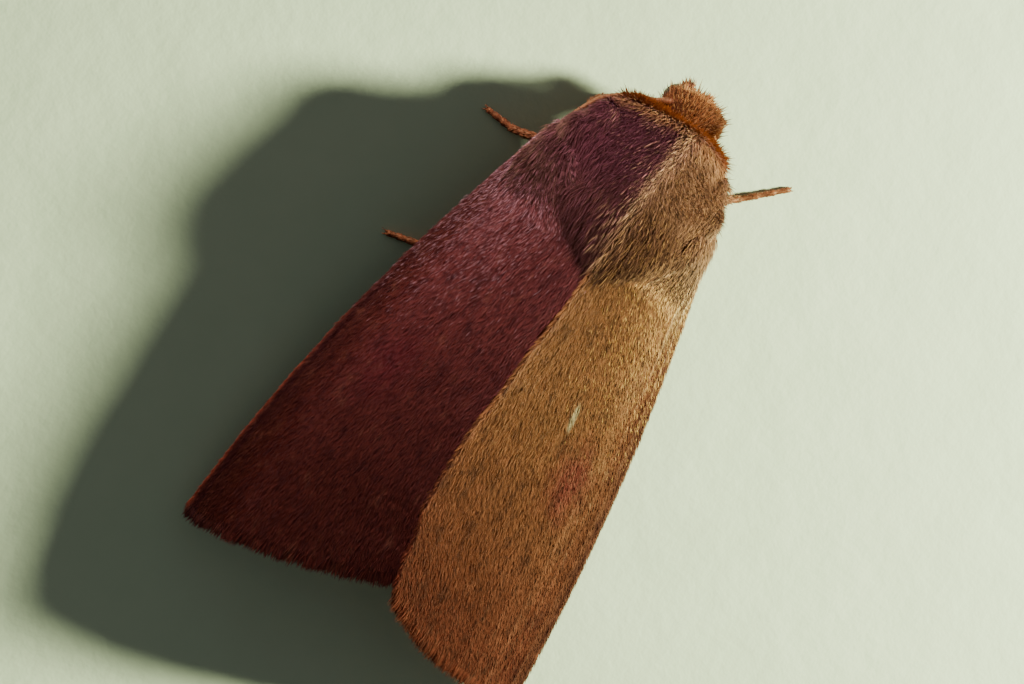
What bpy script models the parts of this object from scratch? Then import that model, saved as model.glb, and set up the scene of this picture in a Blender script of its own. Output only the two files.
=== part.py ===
"""A resting moth with its wings folded like a roof, as a still life-size model.

The moth stands on a floor at z = 0 and faces -Y. Its left side is +X. Lengths below are in millimetres, and
the meshes are in metres.
"""

import math
import random

import bmesh
import bpy
from mathutils import Matrix, Vector
from mathutils.bvhtree import BVHTree

MM = 0.001
GAP = 0.25  # clear space between neighbouring pieces
SEED = 11

# Fore wing at rest: the costa is its low outer edge, and the inner margin runs along the ridge
WING_THICK = 0.5
COSTA_ROOT = Vector((2.98, -6.4, 2.45))
APEX = Vector((5.93, 9.37, 0.68))
COSTA_BOW = 0.55  # how far the costa bulges outwards
COSTA_SAG = 0.2  # how far the costa dips at mid-length
HINGE = Vector((2.22, -5.8, 3.5))  # rear end of the wing root
TORNUS = Vector((0.0, 7.74, 4.29))  # rear end of the ridge
RIDGE_START = Vector((0.0, -3.15, 4.88))
NOTCH = 2.5  # how squarely the inner margins leave room for the thorax
SEAM_SHIFT = 0.42  # the right wing laps past the middle, most at half-length
ROOF_CROWN = 0.34  # 0 is a flat wing, 1 a quarter ellipse
TERMEN_BULGE = 0.028
APEX_ROUND, APEX_ZONE = 0.02, 0.11
TORNUS_ROUND, TORNUS_ZONE = 0.014, 0.09
VEIN_HEIGHT, VEIN_SPREAD = 0.12, 0.03
FRINGE = 0.6  # length of the scale fringe past the membrane
SPAN_STEPS = 15

# Each vein of the fore wing: its place across the wing, and where it starts along it
FORE_VEINS = {
    "subcosta": (0.05, 0.0),
    "radius_1": (0.14, 0.0),
    "radius_5": (0.24, 0.0),
    "media_1": (0.34, 0.56),
    "media_2": (0.44, 0.56),
    "media_3": (0.54, 0.56),
    "cubitus_1": (0.65, 0.0),
    "cubitus_2": (0.77, 0.36),
    "anal": (0.89, 0.0),
}
CELL_END = 0.56  # the cross vein that closes the cell
CELL_ACROSS = (0.24, 0.65)

# Hind wing, folded under the fore wing
HIND_FROM, HIND_TO = 0.07, 0.9
HIND_VEINS = {"radius": (0.14, 0.0), "media": (0.38, 0.45), "cubitus": (0.62, 0.0), "anal": (0.86, 0.0)}
HIND_STEPS = 9

# Body sections: place along y, half width, lowest z, highest z
HEAD_ASIDE = -0.45  # the head is held a little to the moth's right
HEAD_SECTIONS = (
    (-8.35, 0.55, 1.6, 3.05),
    (-8.7, 0.8, 1.45, 3.3),
    (-9.05, 0.85, 1.5, 3.25),
    (-9.28, 0.5, 1.8, 2.9),
)
COLLAR_SECTIONS = ((-8.0, 1.2, 1.8, 3.75), (-7.72, 1.62, 1.65, 4.2), (-7.3, 1.88, 1.6, 4.55))
THORAX_SECTIONS = (
    (-7.05, 1.92, 1.6, 4.72),
    (-6.6, 1.95, 1.6, 4.9),
    (-6.1, 1.95, 1.6, 5.0),
    (-5.3, 1.88, 1.5, 5.1),
    (-4.5, 1.55, 1.4, 5.08),
    (-3.9, 1.05, 1.35, 4.98),
    (-3.5, 0.65, 1.35, 4.8),
)
ABDOMEN_SECTIONS = (
    (-3.25, 0.7, 1.2, 2.75),
    (-2.6, 1.3, 0.95, 2.75),
    (-1.6, 1.5, 0.65, 2.75),
    (0.0, 1.5, 0.4, 2.55),
    (1.6, 1.4, 0.25, 2.25),
    (3.1, 1.15, 0.2, 1.9),
    (4.3, 0.8, 0.25, 1.55),
    (4.9, 0.5, 0.35, 1.25),
)
BODY_SIDES = 16

# Head pieces
EYE_AT, EYE_RADIUS = Vector((0.72, -9.0, 2.15)), 0.45  # x is counted from the middle of the head
SOCKET_ROOM = 0.7 * GAP  # clear space between an eye and the head
PALP_PATH = (Vector((0.38, -9.5, 1.22)), Vector((0.38, -9.72, 1.6)), Vector((0.34, -9.83, 2.15)))
PALP_RADII = (0.25, 0.27, 0.14)
PROBOSCIS_AT, PROBOSCIS_RADIUS = Vector((0.0, -8.95, 0.82)), 0.38
ANTENNA_RADIUS = 0.26
ANTENNA_START = {
    1: ((0.12, -8.72, 3.68), (0.5, -8.58, 3.2), (0.82, -8.42, 2.55), (1.25, -8.36, 1.95)),
    -1: ((1.0, -8.65, 3.68), (1.28, -8.48, 3.15), (1.52, -8.33, 2.55), (1.72, -8.22, 1.98)),
}
ANTENNA_REST = (
    (1.95, -7.85, 1.75),
    (2.35, -7.2, 1.72),
    (2.72, -6.3, 1.62),
    (3.15, -5.2, 1.45),
    (3.42, -3.9, 1.3),
    (3.6, -2.6, 1.12),
)

# Scale plate over each wing root
TEGULA_AT, TEGULA_RADII = Vector((2.25, -6.86, 3.84)), Vector((0.3, 0.74, 0.74))
TEGULA_LEAN = math.radians(27)  # its upper edge leans towards the thorax

# Legs: root, hip, knee, ankle, and the foot's points out to its tip
FOOT_RADIUS = 0.26
LEG_SIDES = 8
FLAT_SHARE = math.cos(math.pi / LEG_SIDES) - 0.03  # a foot's lower flat starts a little under the floor
LEG_RADII = {"root": 0.3, "hip": 0.34, "thigh": 0.38, "knee": 0.28, "shin": 0.28, "ankle": 0.25, "tip": 0.1}
LEGS = {
    "foreleg_right": ((-0.72, -7.2, 1.22), (-1.0, -7.7, 0.85), (-2.5, -8.05, 0.95), (-3.2, -7.65, 0.5),
                      (-3.6, -7.95, 0.26), (-5.0, -9.27, 0.26)),
    "foreleg_left": ((0.72, -7.2, 1.22), (1.0, -7.35, 0.85), (1.95, -7.65, 0.9), (1.75, -8.1, 0.48),
                     (1.4, -8.35, 0.26), (0.2, -9.1, 0.26)),
    "midleg_left": ((0.9, -6.1, 1.25), (1.2, -6.15, 0.9), (2.35, -6.35, 0.95), (2.7, -5.95, 0.45),
                    (3.5, -5.8, 0.26), (4.51, -5.88, 0.26)),
    "midleg_right": ((-0.9, -6.1, 1.25), (-1.2, -6.15, 0.9), (-2.3, -6.2, 0.95), (-2.55, -5.5, 0.45),
                     (-2.75, -4.9, 0.26), (-3.15, -3.9, 0.26)),
    "hindleg_left": ((0.8, -4.75, 1.3), (1.2, -4.7, 0.9), (2.45, -3.9, 0.95), (2.85, -1.75, 0.5),
                     (3.93, -1.31, 0.26), (5.07, -1.03, 0.26)),
    "hindleg_right": ((-0.8, -4.75, 1.3), (-1.2, -4.7, 0.9), (-2.4, -3.7, 0.98), (-2.6, -0.9, 0.45),
                      (-2.75, -0.3, 0.26), (-3.2, 2.6, 0.26)),
}

# Locks of the coat, rooted in the skin and lying along it. Angles go round the body: 0 is left, 90 the top
LOCK_WIDTH, LOCK_THICK = 0.66, 0.5
LOCK_SINK = 0.12  # how deep a lock's middle line starts under the skin
LOCK_CLEAR = 0.12  # least room between a lock and the next piece
LOCK_BACK = 0.3  # share of its length by which a lock starts behind its root
LOCK_CUTS = (1.0, 0.85, 0.7, 0.55)  # shares of the wanted length that are tried in turn
LOCK_RAISES = (0.0, 0.15, 0.3)  # how much higher each of them may stand
LOCK_SHARES = ((0.0, 0.8, 1.0), (0.34, 1.0, 1.0), (0.7, 0.72, 0.6))  # place along, width and thickness
THORAX_ROWS = (
    (-6.7, 1.0, 14, 11),
    (-6.2, 1.1, 14, 11),
    (-5.7, 1.15, 14, 11),
    (-5.15, 1.2, 16, 11),
    (-4.6, 1.25, 18, 10),
    (-4.05, 1.25, 20, 8),
    (-3.72, 1.05, 35, 5),
)
COLLAR_ROWS = ((-7.75, 0.62), (-7.5, 0.72))
COLLAR_ANGLES = (22, 158, 11)
COLLAR_LIFT, COLLAR_STAND, COLLAR_BACK = 0.1, 0.75, 0.35
HEAD_ROWS = (
    (-8.6, 0.7, 45, 125, 4),
    (-8.9, 0.85, 25, 120, 5),
    (-9.1, 0.95, 10, 118, 6),
    (-9.24, 0.7, 50, 130, 3),
)
HEAD_LIFT, HEAD_STAND, HEAD_LOCK_SIZE = 0.15, 0.45, 0.8
TEGULA_ANGLES = (-60, 120, 6)
ABDOMEN_ROWS = ((-1.9, 1.0), (-0.7, 1.0), (0.5, 1.0), (1.7, 1.0), (2.8, 0.95), (3.8, 0.9))
ABDOMEN_SIDE_ANGLES, ABDOMEN_SIDE_STEPS = (-12, 192), (-22, 10)
TAIL_ROW = (4.6, 1.0, 9)

COLOURS = {
    "coat": (0.29, 0.13, 0.06),
    "wing": (0.27, 0.075, 0.035),
    "hindwing": (0.3, 0.17, 0.1),
    "eye": (0.012, 0.01, 0.008),
    "antenna": (0.3, 0.13, 0.06),
    "leg": (0.32, 0.12, 0.05),
}


# Small tools

def smooth(t):
    """0 to 1 with flat ends."""
    t = min(max(t, 0.0), 1.0)
    return t * t * (3 - 2 * t)


def mirrored(point, side, middle=0.0):
    """side is 1 for the left, -1 for the right."""
    return Vector((middle + point[0] * side, point[1], point[2]))


def clear_scene():
    for obj in list(bpy.data.objects):
        bpy.data.objects.remove(obj)


def material(name):
    found = bpy.data.materials.get(name)
    if found:
        return found
    made = bpy.data.materials.new(name)
    made.use_nodes = True
    shader = made.node_tree.nodes["Principled BSDF"]
    shader.inputs["Base Color"].default_value = (*COLOURS[name], 1.0)
    shader.inputs["Roughness"].default_value = 0.15 if name == "eye" else 0.75
    shader.inputs["Metallic"].default_value = 0.0
    return made


def mesh_object(name, points, faces, finish):
    """An object from points in millimetres. Its faces are turned outwards."""
    mesh = bpy.data.meshes.new(name)
    bm = bmesh.new()
    corners = [bm.verts.new(Vector(p) * MM) for p in points]
    for face in faces:
        bm.faces.new([corners[i] for i in face])
    bmesh.ops.recalc_face_normals(bm, faces=bm.faces)
    bm.to_mesh(mesh)
    bm.free()
    mesh.materials.append(material(finish))
    mesh.shade_smooth()
    obj = bpy.data.objects.new(name, mesh)
    bpy.context.scene.collection.objects.link(obj)
    return obj


def skinned(rings, start=None, end=None):
    """Points and faces of a closed skin over rings of equal count. A start or end point closes a pole."""
    points, faces = [], []
    count = len(rings[0])
    for ring in rings:
        points.extend(ring)
    for r in range(len(rings) - 1):
        for k in range(count):
            a, b = r * count + k, r * count + (k + 1) % count
            faces.append((a, b, b + count, a + count))
    for pole, first in ((start, 0), (end, (len(rings) - 1) * count)):
        if pole is None:
            faces.append(tuple(range(first, first + count)))
        else:
            points.append(pole)
            faces.extend((first + k, first + (k + 1) % count, len(points) - 1) for k in range(count))
    return points, faces


# Body sections

def section_at(sections, y):
    """Half width, lowest and highest z at a place along y."""
    ordered = sorted(sections)
    y = min(max(y, ordered[0][0]), ordered[-1][0])
    for near, far in zip(ordered, ordered[1:]):
        if y <= far[0]:
            t = (y - near[0]) / (far[0] - near[0])
            return [near[k] + (far[k] - near[k]) * t for k in (1, 2, 3)]
    return list(ordered[-1][1:])


def on_section(sections, y, angle):
    """The point at an angle round the section: 0 is the left side, 90 degrees the top."""
    half, low, high = section_at(sections, y)
    return Vector((half * math.cos(angle), y, (low + high) / 2 + (high - low) / 2 * math.sin(angle)))


def out_of_section(sections, y, angle):
    """The direction out of the body at that point."""
    half, low, high = section_at(sections, y)
    tall = (high - low) / 2
    step = 0.1
    ahead = on_section(sections, y + step, angle) - on_section(sections, y - step, angle)
    around = Vector((-half * math.sin(angle), 0, tall * math.cos(angle)))
    normal = ahead.cross(around)
    out = Vector((math.cos(angle), 0, math.sin(angle)))
    return (normal if normal.dot(out) > 0 else -normal).normalized()


def body_core(name, sections, finish, ends, aside=0.0):
    """One closed skin through the sections. ends says how far a pole stands out at the first and last."""
    rings = []
    for y, *_ in sections:
        angles = [2 * math.pi * (k + 0.5) / BODY_SIDES for k in range(BODY_SIDES)]
        rings.append([on_section(sections, y, angle) + Vector((aside, 0, 0)) for angle in angles])
    poles = []
    for ring, reach in ((rings[0], ends[0]), (rings[-1], ends[1])):
        middle = sum(ring, Vector()) / len(ring)
        poles.append(middle + Vector((0, reach, 0)) if reach else None)
    return mesh_object(name, *skinned(rings, *poles), finish)


# Wings

def costa(u):
    p = COSTA_ROOT.lerp(APEX, u)
    hump = 4 * u * (1 - u)
    return p + Vector((COSTA_BOW * hump, 0, -COSTA_SAG * hump))


def seam(y):
    """Where the two fore wings meet: 0 is the middle, + is left."""
    t = (y - RIDGE_START.y) / (TORNUS.y - RIDGE_START.y)
    return SEAM_SHIFT * math.sin(math.pi * min(max(t, 0.0), 1.0))


def inner_margin(u, side):
    """From the hinge round the thorax to the ridge, then back along it. x is counted outwards."""
    y = HINGE.y + (TORNUS.y - HINGE.y) * u
    climb = min((y - HINGE.y) / (RIDGE_START.y - HINGE.y), 1.0)
    along = min(max((y - RIDGE_START.y) / (TORNUS.y - RIDGE_START.y), 0.0), 1.0)
    ridge_z = RIDGE_START.z + (TORNUS.z - RIDGE_START.z) * along
    ridge_x = GAP / 2 + side * seam(y)
    x = HINGE.x + (ridge_x - HINGE.x) * climb ** NOTCH
    return Vector((x, y, HINGE.z + (ridge_z - HINGE.z) * climb))


def outline_reach(v):
    """Share of the full length that the wing reaches at a place across it."""
    reach = 1 + TERMEN_BULGE * 4 * v * (1 - v)
    reach -= APEX_ROUND * max(1 - v / APEX_ZONE, 0) ** 2
    reach -= TORNUS_ROUND * max((v - 1 + TORNUS_ZONE) / TORNUS_ZONE, 0) ** 2
    return reach


def roof(u, v, side):
    """A point on the top of the left-hand wing, for the side's own inner margin. x is counted outwards."""
    low, high = costa(u), inner_margin(u, side)
    flat = low.lerp(high, v)
    turn = v * math.pi / 2
    round_x = high.x + (low.x - high.x) * math.cos(turn)
    round_z = low.z + (high.z - low.z) * math.sin(turn)
    crowned = Vector((round_x, flat.y, round_z))
    return flat.lerp(crowned, ROOF_CROWN)


def roof_normal(u, v, side):
    step = 0.01
    u0, v0 = min(max(u, step), 1 - step), min(max(v, step), 1 - step)
    along = roof(u0 + step, v0, side) - roof(u0 - step, v0, side)
    across = roof(u0, v0 + step, side) - roof(u0, v0 - step, side)
    normal = along.cross(across).normalized()
    return normal if normal.z > 0 else -normal


def under_roof(u, v, side, depth):
    """The point that far under the top. Near the ridge the depth is taken straight down."""
    normal = roof_normal(u, v, side)
    down = normal.lerp(Vector((0, 0, 1)), smooth((v - 0.55) / 0.45)).normalized()
    return roof(u, v, side) - down * (depth / max(normal.dot(down), 0.3))


def lines_across(veins):
    """Grid lines across the wing: both edges, and each vein with its two feet."""
    lines = {0.0, 0.96, 1.0}
    for place, _ in veins.values():
        lines.update((place - VEIN_SPREAD, place, place + VEIN_SPREAD))
    return sorted(round(v, 4) for v in lines)


def vein_rise(veins, u, v, cell=None):
    for place, start in veins.values():
        if abs(v - place) < 1e-6 and u >= start:
            return VEIN_HEIGHT
    if cell and abs(u - CELL_END) < 1e-6 and CELL_ACROSS[0] <= v <= CELL_ACROSS[1]:
        return VEIN_HEIGHT
    return 0.0


def membrane(top, bottom, tips):
    """Points and faces of a thin sheet, with a tapered tooth on each strip of its far edge.

    top and bottom are grids of points. tips gives each tooth's end, or is empty for a plain edge.
    """
    rows, columns = len(top), len(top[0])
    points = [p for row in top for p in row] + [p for row in bottom for p in row]
    under = rows * columns
    faces = []
    for i in range(rows - 1):
        for j in range(columns - 1):
            a, d = i * columns + j, (i + 1) * columns + j
            b, c = a + 1, d + 1
            faces += [(a, b, c), (a, c, d)]
            faces += [(a + under, c + under, b + under), (a + under, d + under, c + under)]
    for i in range(rows - 1):
        for j in (0, columns - 1):
            a, b = i * columns + j, (i + 1) * columns + j
            faces += [(a, b, b + under), (a, b + under, a + under)]
    for j in range(columns - 1):
        faces += [(j, j + 1, j + 1 + under), (j, j + 1 + under, j + under)]
        a = (rows - 1) * columns + j
        base = (a, a + 1, a + 1 + under, a + under)
        if not tips:
            faces += [(base[0], base[1], base[2]), (base[0], base[2], base[3])]
            continue
        first = len(points)
        points.extend(tips[j])
        end = (first, first + 1, first + 2, first + 3)
        for k in range(4):
            near, far = k, (k + 1) % 4
            faces += [(base[near], base[far], end[far]), (base[near], end[far], end[near])]
        faces += [(end[0], end[1], end[2]), (end[0], end[2], end[3])]
    return points, faces


def fringe_tip(corners, outwards, length):
    """The four end points of a tooth that narrows and thins from its four root corners."""
    middle = sum(corners, Vector()) / 4
    narrow, thin = 0.45, 0.3
    ends = []
    for corner in corners:
        away = corner - middle
        rise = (corners[0] + corners[1] - corners[2] - corners[3]).normalized()
        high = away.dot(rise)
        ends.append(middle + outwards * length + (away - rise * high) * narrow + rise * high * thin)
    return ends


def fore_wing(name, side):
    """The fore wing with its veins raised on top and its fringe as tapered teeth."""
    rng = random.Random(SEED + side)
    across = lines_across(FORE_VEINS)
    stations = sorted({round(k / SPAN_STEPS, 4) for k in range(SPAN_STEPS + 1)} | {CELL_END})
    full = (APEX - COSTA_ROOT).length
    skin = 1 - FRINGE / full
    top, bottom = [], []
    for u in stations:
        places = [(u * outline_reach(v) * skin, v) for v in across]
        top.append([roof(w, v, side) + roof_normal(w, v, side) * vein_rise(FORE_VEINS, u, v, True)
                    for w, v in places])
        bottom.append([under_roof(w, v, side, WING_THICK) for w, v in places])
    tips = []
    for j in range(len(across) - 1):
        corners = [top[-1][j], top[-1][j + 1], bottom[-1][j + 1], bottom[-1][j]]
        outwards = (top[-1][j] + top[-1][j + 1] - top[-2][j] - top[-2][j + 1]).normalized()
        tips.append(fringe_tip(corners, outwards, FRINGE * rng.uniform(0.82, 1.05)))
    points, faces = membrane(top, bottom, tips)
    return mesh_object(name, [mirrored(p, side) for p in points], faces, "wing")


def hind_place(t, s):
    """A place on the folded hind wing as a place on the fore wing above it."""
    u = HIND_FROM + (HIND_TO - HIND_FROM) * t
    spread = smooth(t / 0.45)
    inner = 0.93 - 0.07 * spread
    outer = 0.68 - 0.36 * spread
    round_off = 0.07 * (abs(2 * s - 1) ** 2.5) * smooth((t - 0.5) / 0.5)
    return u - round_off, outer + (inner - outer) * s


def hind_wing(name, side):
    across = lines_across(HIND_VEINS)
    top, bottom = [], []
    for k in range(HIND_STEPS + 1):
        t = k / HIND_STEPS
        above, below = [], []
        for s in across:
            u, v = hind_place(t, s)
            rise = vein_rise(HIND_VEINS, t, s)
            above.append(under_roof(u, v, side, WING_THICK + GAP + VEIN_HEIGHT - rise))
            below.append(under_roof(u, v, side, 2 * WING_THICK + GAP + VEIN_HEIGHT))
        top.append(above)
        bottom.append(below)
    points, faces = membrane(top, bottom, [])
    return mesh_object(name, [mirrored(p, side) for p in points], faces, "hindwing")


# Round pieces

def tube_rings(path, radii, sides):
    """Rings square to the path, each with a flat side down, and never below the floor."""
    rings = []
    for k, (p, radius) in enumerate(zip(path, radii)):
        before, after = path[max(k - 1, 0)], path[min(k + 1, len(path) - 1)]
        ahead = (after - before).normalized()
        aside = ahead.cross(Vector((0, 0, 1)))
        aside = (aside if aside.length > 0.05 else Vector((1, 0, 0))).normalized()
        above = aside.cross(ahead).normalized()
        ring = []
        for j in range(sides):
            angle = 2 * math.pi * (j + 0.5) / sides
            q = p + (aside * math.cos(angle) + above * math.sin(angle)) * radius
            ring.append(Vector((q.x, q.y, max(q.z, 0.0))))
        rings.append(ring)
    return rings


def eased_route(points, steps):
    """A smooth curve through the points, read at even steps of each stretch."""
    route = []
    for k in range(len(points) - 1):
        before = points[max(k - 1, 0)]
        a, b = points[k], points[k + 1]
        after = points[min(k + 2, len(points) - 1)]
        for j in range(steps):
            t = j / steps
            pull = (b - before) * 0.5 * (t - 2 * t * t + t ** 3) + (after - a) * 0.5 * (t ** 3 - t * t)
            route.append(a.lerp(b, 3 * t * t - 2 * t ** 3) + pull)
    return route + [points[-1]]


def antenna(name, side):
    route = eased_route([mirrored(p, side) for p in ANTENNA_START[side] + ANTENNA_REST], 2)
    last = len(route) - 1
    radii = [ANTENNA_RADIUS * (1.0 if k < 0.75 * last else 1.0 - 0.65 * (k / last - 0.75) / 0.25)
             for k in range(last + 1)]
    return mesh_object(name, *skinned(tube_rings(route, radii, 6)), "antenna")


def palp(name, side):
    route = [mirrored(p, side, HEAD_ASIDE) for p in PALP_PATH]
    return mesh_object(name, *skinned(tube_rings(route, PALP_RADII, 8)), "coat")


def leg(name, joints):
    root, hip, knee, ankle, *foot = [Vector(p) for p in joints]
    r = LEG_RADII
    path = [root, hip, hip.lerp(knee, 0.45), knee, knee.lerp(ankle, 0.5), ankle]
    radii = [r["root"], r["hip"], r["thigh"], r["knee"], r["shin"], r["ankle"]]
    path += [foot[0], foot[0].lerp(foot[1], 0.6), foot[1]]
    radii += [FOOT_RADIUS, 0.85 * FOOT_RADIUS, r["tip"]]
    for k in (-3, -2, -1):
        path[k] = Vector((path[k].x, path[k].y, radii[k] * FLAT_SHARE))
    return mesh_object(name, *skinned(tube_rings(path, radii, LEG_SIDES)), "leg")


def proboscis():
    """The coiled tongue under the head, as a round pad with a hollow on each side."""
    profile = ((-0.24, 0.45), (-0.25, 0.85), (-0.16, 1.0), (0.16, 1.0), (0.25, 0.85), (0.24, 0.45))
    middle = PROBOSCIS_AT + Vector((HEAD_ASIDE, 0, 0))
    rings = []
    for x, share in profile:
        ring = []
        for k in range(12):
            angle = 2 * math.pi * (k + 0.5) / 12
            spoke = Vector((0, math.cos(angle), math.sin(angle))) * share * PROBOSCIS_RADIUS
            ring.append(middle + Vector((x, 0, 0)) + spoke)
        rings.append(ring)
    dimple = Vector((0.16, 0, 0))
    return mesh_object("proboscis", *skinned(rings, middle - dimple, middle + dimple), "antenna")


def eye(name, side):
    mesh = bpy.data.meshes.new(name)
    bm = bmesh.new()
    bmesh.ops.create_icosphere(bm, subdivisions=2, radius=EYE_RADIUS * MM)
    bm.to_mesh(mesh)
    bm.free()
    mesh.materials.append(material("eye"))
    mesh.shade_smooth()
    obj = bpy.data.objects.new(name, mesh)
    obj.location = mirrored(EYE_AT, side, HEAD_ASIDE) * MM
    bpy.context.scene.collection.objects.link(obj)
    return obj


def tegula_turn(side):
    return Matrix.Rotation(-side * TEGULA_LEAN, 4, "Y")


def tegula(name, side):
    mesh = bpy.data.meshes.new(name)
    bm = bmesh.new()
    bmesh.ops.create_uvsphere(bm, u_segments=12, v_segments=8, radius=MM)
    bmesh.ops.scale(bm, vec=TEGULA_RADII, verts=bm.verts)
    bmesh.ops.transform(bm, matrix=tegula_turn(side), verts=bm.verts)
    bm.to_mesh(mesh)
    bm.free()
    mesh.materials.append(material("coat"))
    mesh.shade_smooth()
    obj = bpy.data.objects.new(name, mesh)
    obj.location = mirrored(TEGULA_AT, side) * MM
    bpy.context.scene.collection.objects.link(obj)
    return obj


# Locks

def lock(root, along, out, length, width, lift, back=LOCK_BACK, thick=LOCK_THICK):
    """Points and faces of one flat lock that leaves the skin, rises by lift and bends back along it.

    back is the share of its length by which it starts behind its root, inside the body.
    """
    across = along.cross(out).normalized()
    above = across.cross(along).normalized()
    start = root - out * LOCK_SINK - along * (back * length)
    rings = []
    for t, wide, deep in LOCK_SHARES:
        middle = start + along * ((1 + back) * length * t) + above * (lift * (1.6 * t - 0.6 * t * t))
        aside, rise = across * (width * wide / 2), above * (thick * deep / 2)
        rings.append([middle - aside - rise * 0.5, middle - aside + rise * 0.4, middle + rise,
                      middle + aside + rise * 0.4, middle + aside - rise * 0.5])
    tip = start + along * ((1 + back) * length) + above * lift
    return skinned(rings, None, tip)


def roomy(points, trees):
    """True if the lock keeps clear of the neighbours. Points half-way along its edges are looked at too."""
    seen = list(points) + [(a + b) / 2 for a, b in zip(points, points[1:])]
    for tree in trees:
        for p in seen:
            if tree.find_nearest(p, LOCK_CLEAR)[0] is not None:
                return False
    return True


def fitted_lock(root, along, out, length, width, lift, trees, back=LOCK_BACK, thick=LOCK_THICK):
    """The longest lock of at most that length that keeps clear of the neighbours, or None."""
    for share in LOCK_CUTS:
        for extra in LOCK_RAISES:
            wide = width * (0.6 + 0.4 * share)
            points, faces = lock(root, along, out, length * share, wide, lift + extra, back, thick)
            if roomy(points, trees):
                return points, faces
    return None


def neighbour_trees(names):
    """The shapes of finished pieces, in millimetres."""
    trees = []
    for name in names:
        obj = bpy.data.objects[name]
        corners = [(obj.matrix_world @ v.co) / MM for v in obj.data.vertices]
        trees.append(BVHTree.FromPolygons(corners, [tuple(face.vertices) for face in obj.data.polygons]))
    return trees


def with_locks(core, locks, finish):
    """Joins the locks to the core in one union and keeps its largest closed surface."""
    bunch = bpy.data.collections.new(core.name + "_locks")
    bpy.context.scene.collection.children.link(bunch)
    for k, (points, faces) in enumerate(locks):
        piece = mesh_object(f"{core.name}_lock_{k}", points, faces, finish)
        bpy.context.scene.collection.objects.unlink(piece)
        bunch.objects.link(piece)
    modifier = core.modifiers.new("coat", "BOOLEAN")
    modifier.operation = "UNION"
    modifier.operand_type = "COLLECTION"
    modifier.collection = bunch
    modifier.solver = "EXACT"
    applied(core)
    for piece in list(bunch.objects):
        bpy.data.objects.remove(piece)
    bpy.data.collections.remove(bunch)
    keep_largest(core)


def keep_largest(obj):
    bm = bmesh.new()
    bm.from_mesh(obj.data)
    bmesh.ops.triangulate(bm, faces=bm.faces)
    left = set(bm.verts)
    islands = []
    while left:
        island, edge = set(), [left.pop()]
        while edge:
            v = edge.pop()
            island.add(v)
            for e in v.link_edges:
                other = e.other_vert(v)
                if other in left:
                    left.remove(other)
                    edge.append(other)
        islands.append(island)
    islands.sort(key=len)
    spare = [v for island in islands[:-1] for v in island]
    bmesh.ops.delete(bm, geom=spare, context="VERTS")
    bm.to_mesh(obj.data)
    bm.free()


def spread(first, last, count, shift=0.0):
    """Even angles in radians. shift moves them by that share of a step."""
    step = (last - first) / (count - 1)
    return [math.radians(first + step * (k + shift)) for k in range(count)]


def coat_lock(rng, sections, y, angle, length, lie, trees, lift=0.3, aside=0.0, stand=0.15,
              back=LOCK_BACK, size=1.0):
    """A lock on a body section. lie is the way the hair points. stand is the share that leaves the skin."""
    angle += rng.uniform(-0.05, 0.05)
    root = on_section(sections, y + rng.uniform(-0.08, 0.08), angle) + Vector((aside, 0, 0))
    out = out_of_section(sections, y, angle)
    lie = Vector(lie) + Vector((rng.uniform(-0.2, 0.2), rng.uniform(-0.1, 0.1), rng.uniform(-0.1, 0.1)))
    along = (lie - out * lie.dot(out) * (1 - stand)).normalized()
    width = LOCK_WIDTH * size * rng.uniform(0.85, 1.1)
    length *= rng.uniform(0.9, 1.1)
    lift *= rng.uniform(0.8, 1.2)
    return fitted_lock(root, along, out, length, width, lift, trees, back, LOCK_THICK * size)


def thorax_locks(trees):
    rng = random.Random(SEED)
    locks = []
    for row, (y, length, edge, count) in enumerate(THORAX_ROWS):
        for angle in spread(edge, 180 - edge, count, 0.25 * (-1) ** row):
            lie = (0.35 * math.cos(angle), 1, 0.05)
            locks.append(coat_lock(rng, THORAX_SECTIONS, y, angle, length, lie, trees))
    return [made for made in locks if made]


def collar_locks(trees):
    rng = random.Random(SEED + 1)
    locks = []
    for y, length in COLLAR_ROWS:
        for angle in spread(*COLLAR_ANGLES):
            lie = (math.cos(angle), -0.75, math.sin(angle))
            locks.append(coat_lock(rng, COLLAR_SECTIONS, y, angle, length, lie, trees,
                                   lift=COLLAR_LIFT, stand=COLLAR_STAND, back=COLLAR_BACK))
    return [made for made in locks if made]


def head_locks(trees):
    rng = random.Random(SEED + 2)
    locks = []
    for y, length, first, last, count in HEAD_ROWS:
        for angle in spread(first, last, count):
            lie = (0.12 + 0.25 * math.cos(angle), -1.0, 0.25 + 0.35 * math.sin(angle))
            locks.append(coat_lock(rng, HEAD_SECTIONS, y, angle, length, lie, trees,
                                   lift=HEAD_LIFT, aside=HEAD_ASIDE, stand=HEAD_STAND, size=HEAD_LOCK_SIZE))
    return [made for made in locks if made]


def tegula_locks(side, trees):
    rng = random.Random(SEED + 5 + side)
    middle = mirrored(TEGULA_AT, side)
    turn = tegula_turn(side).to_3x3()
    locks = []
    for angle in spread(*TEGULA_ANGLES):
        for reach in (0.35, 0.8):
            back = -0.25 + 0.6 * reach * math.cos(angle)
            up = reach * TEGULA_RADII.z * math.sin(angle)
            left = max(1 - (back / TEGULA_RADII.y) ** 2 - (up / TEGULA_RADII.z) ** 2, 0.05)
            offset = Vector((side * TEGULA_RADII.x * math.sqrt(left), back, up))
            out = turn @ Vector((side, 0.2 * back, 0.35 * up)).normalized()
            root = middle + turn @ offset
            along = Vector((0.1 * side, 1, -0.3 + 0.3 * up)).normalized()
            along = (along - out * along.dot(out) * 0.8).normalized()
            width = LOCK_WIDTH * rng.uniform(0.8, 1.0)
            locks.append(fitted_lock(root, along, out, 0.95 * rng.uniform(0.9, 1.1), width, 0.1, trees))
    return [made for made in locks if made]


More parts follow.
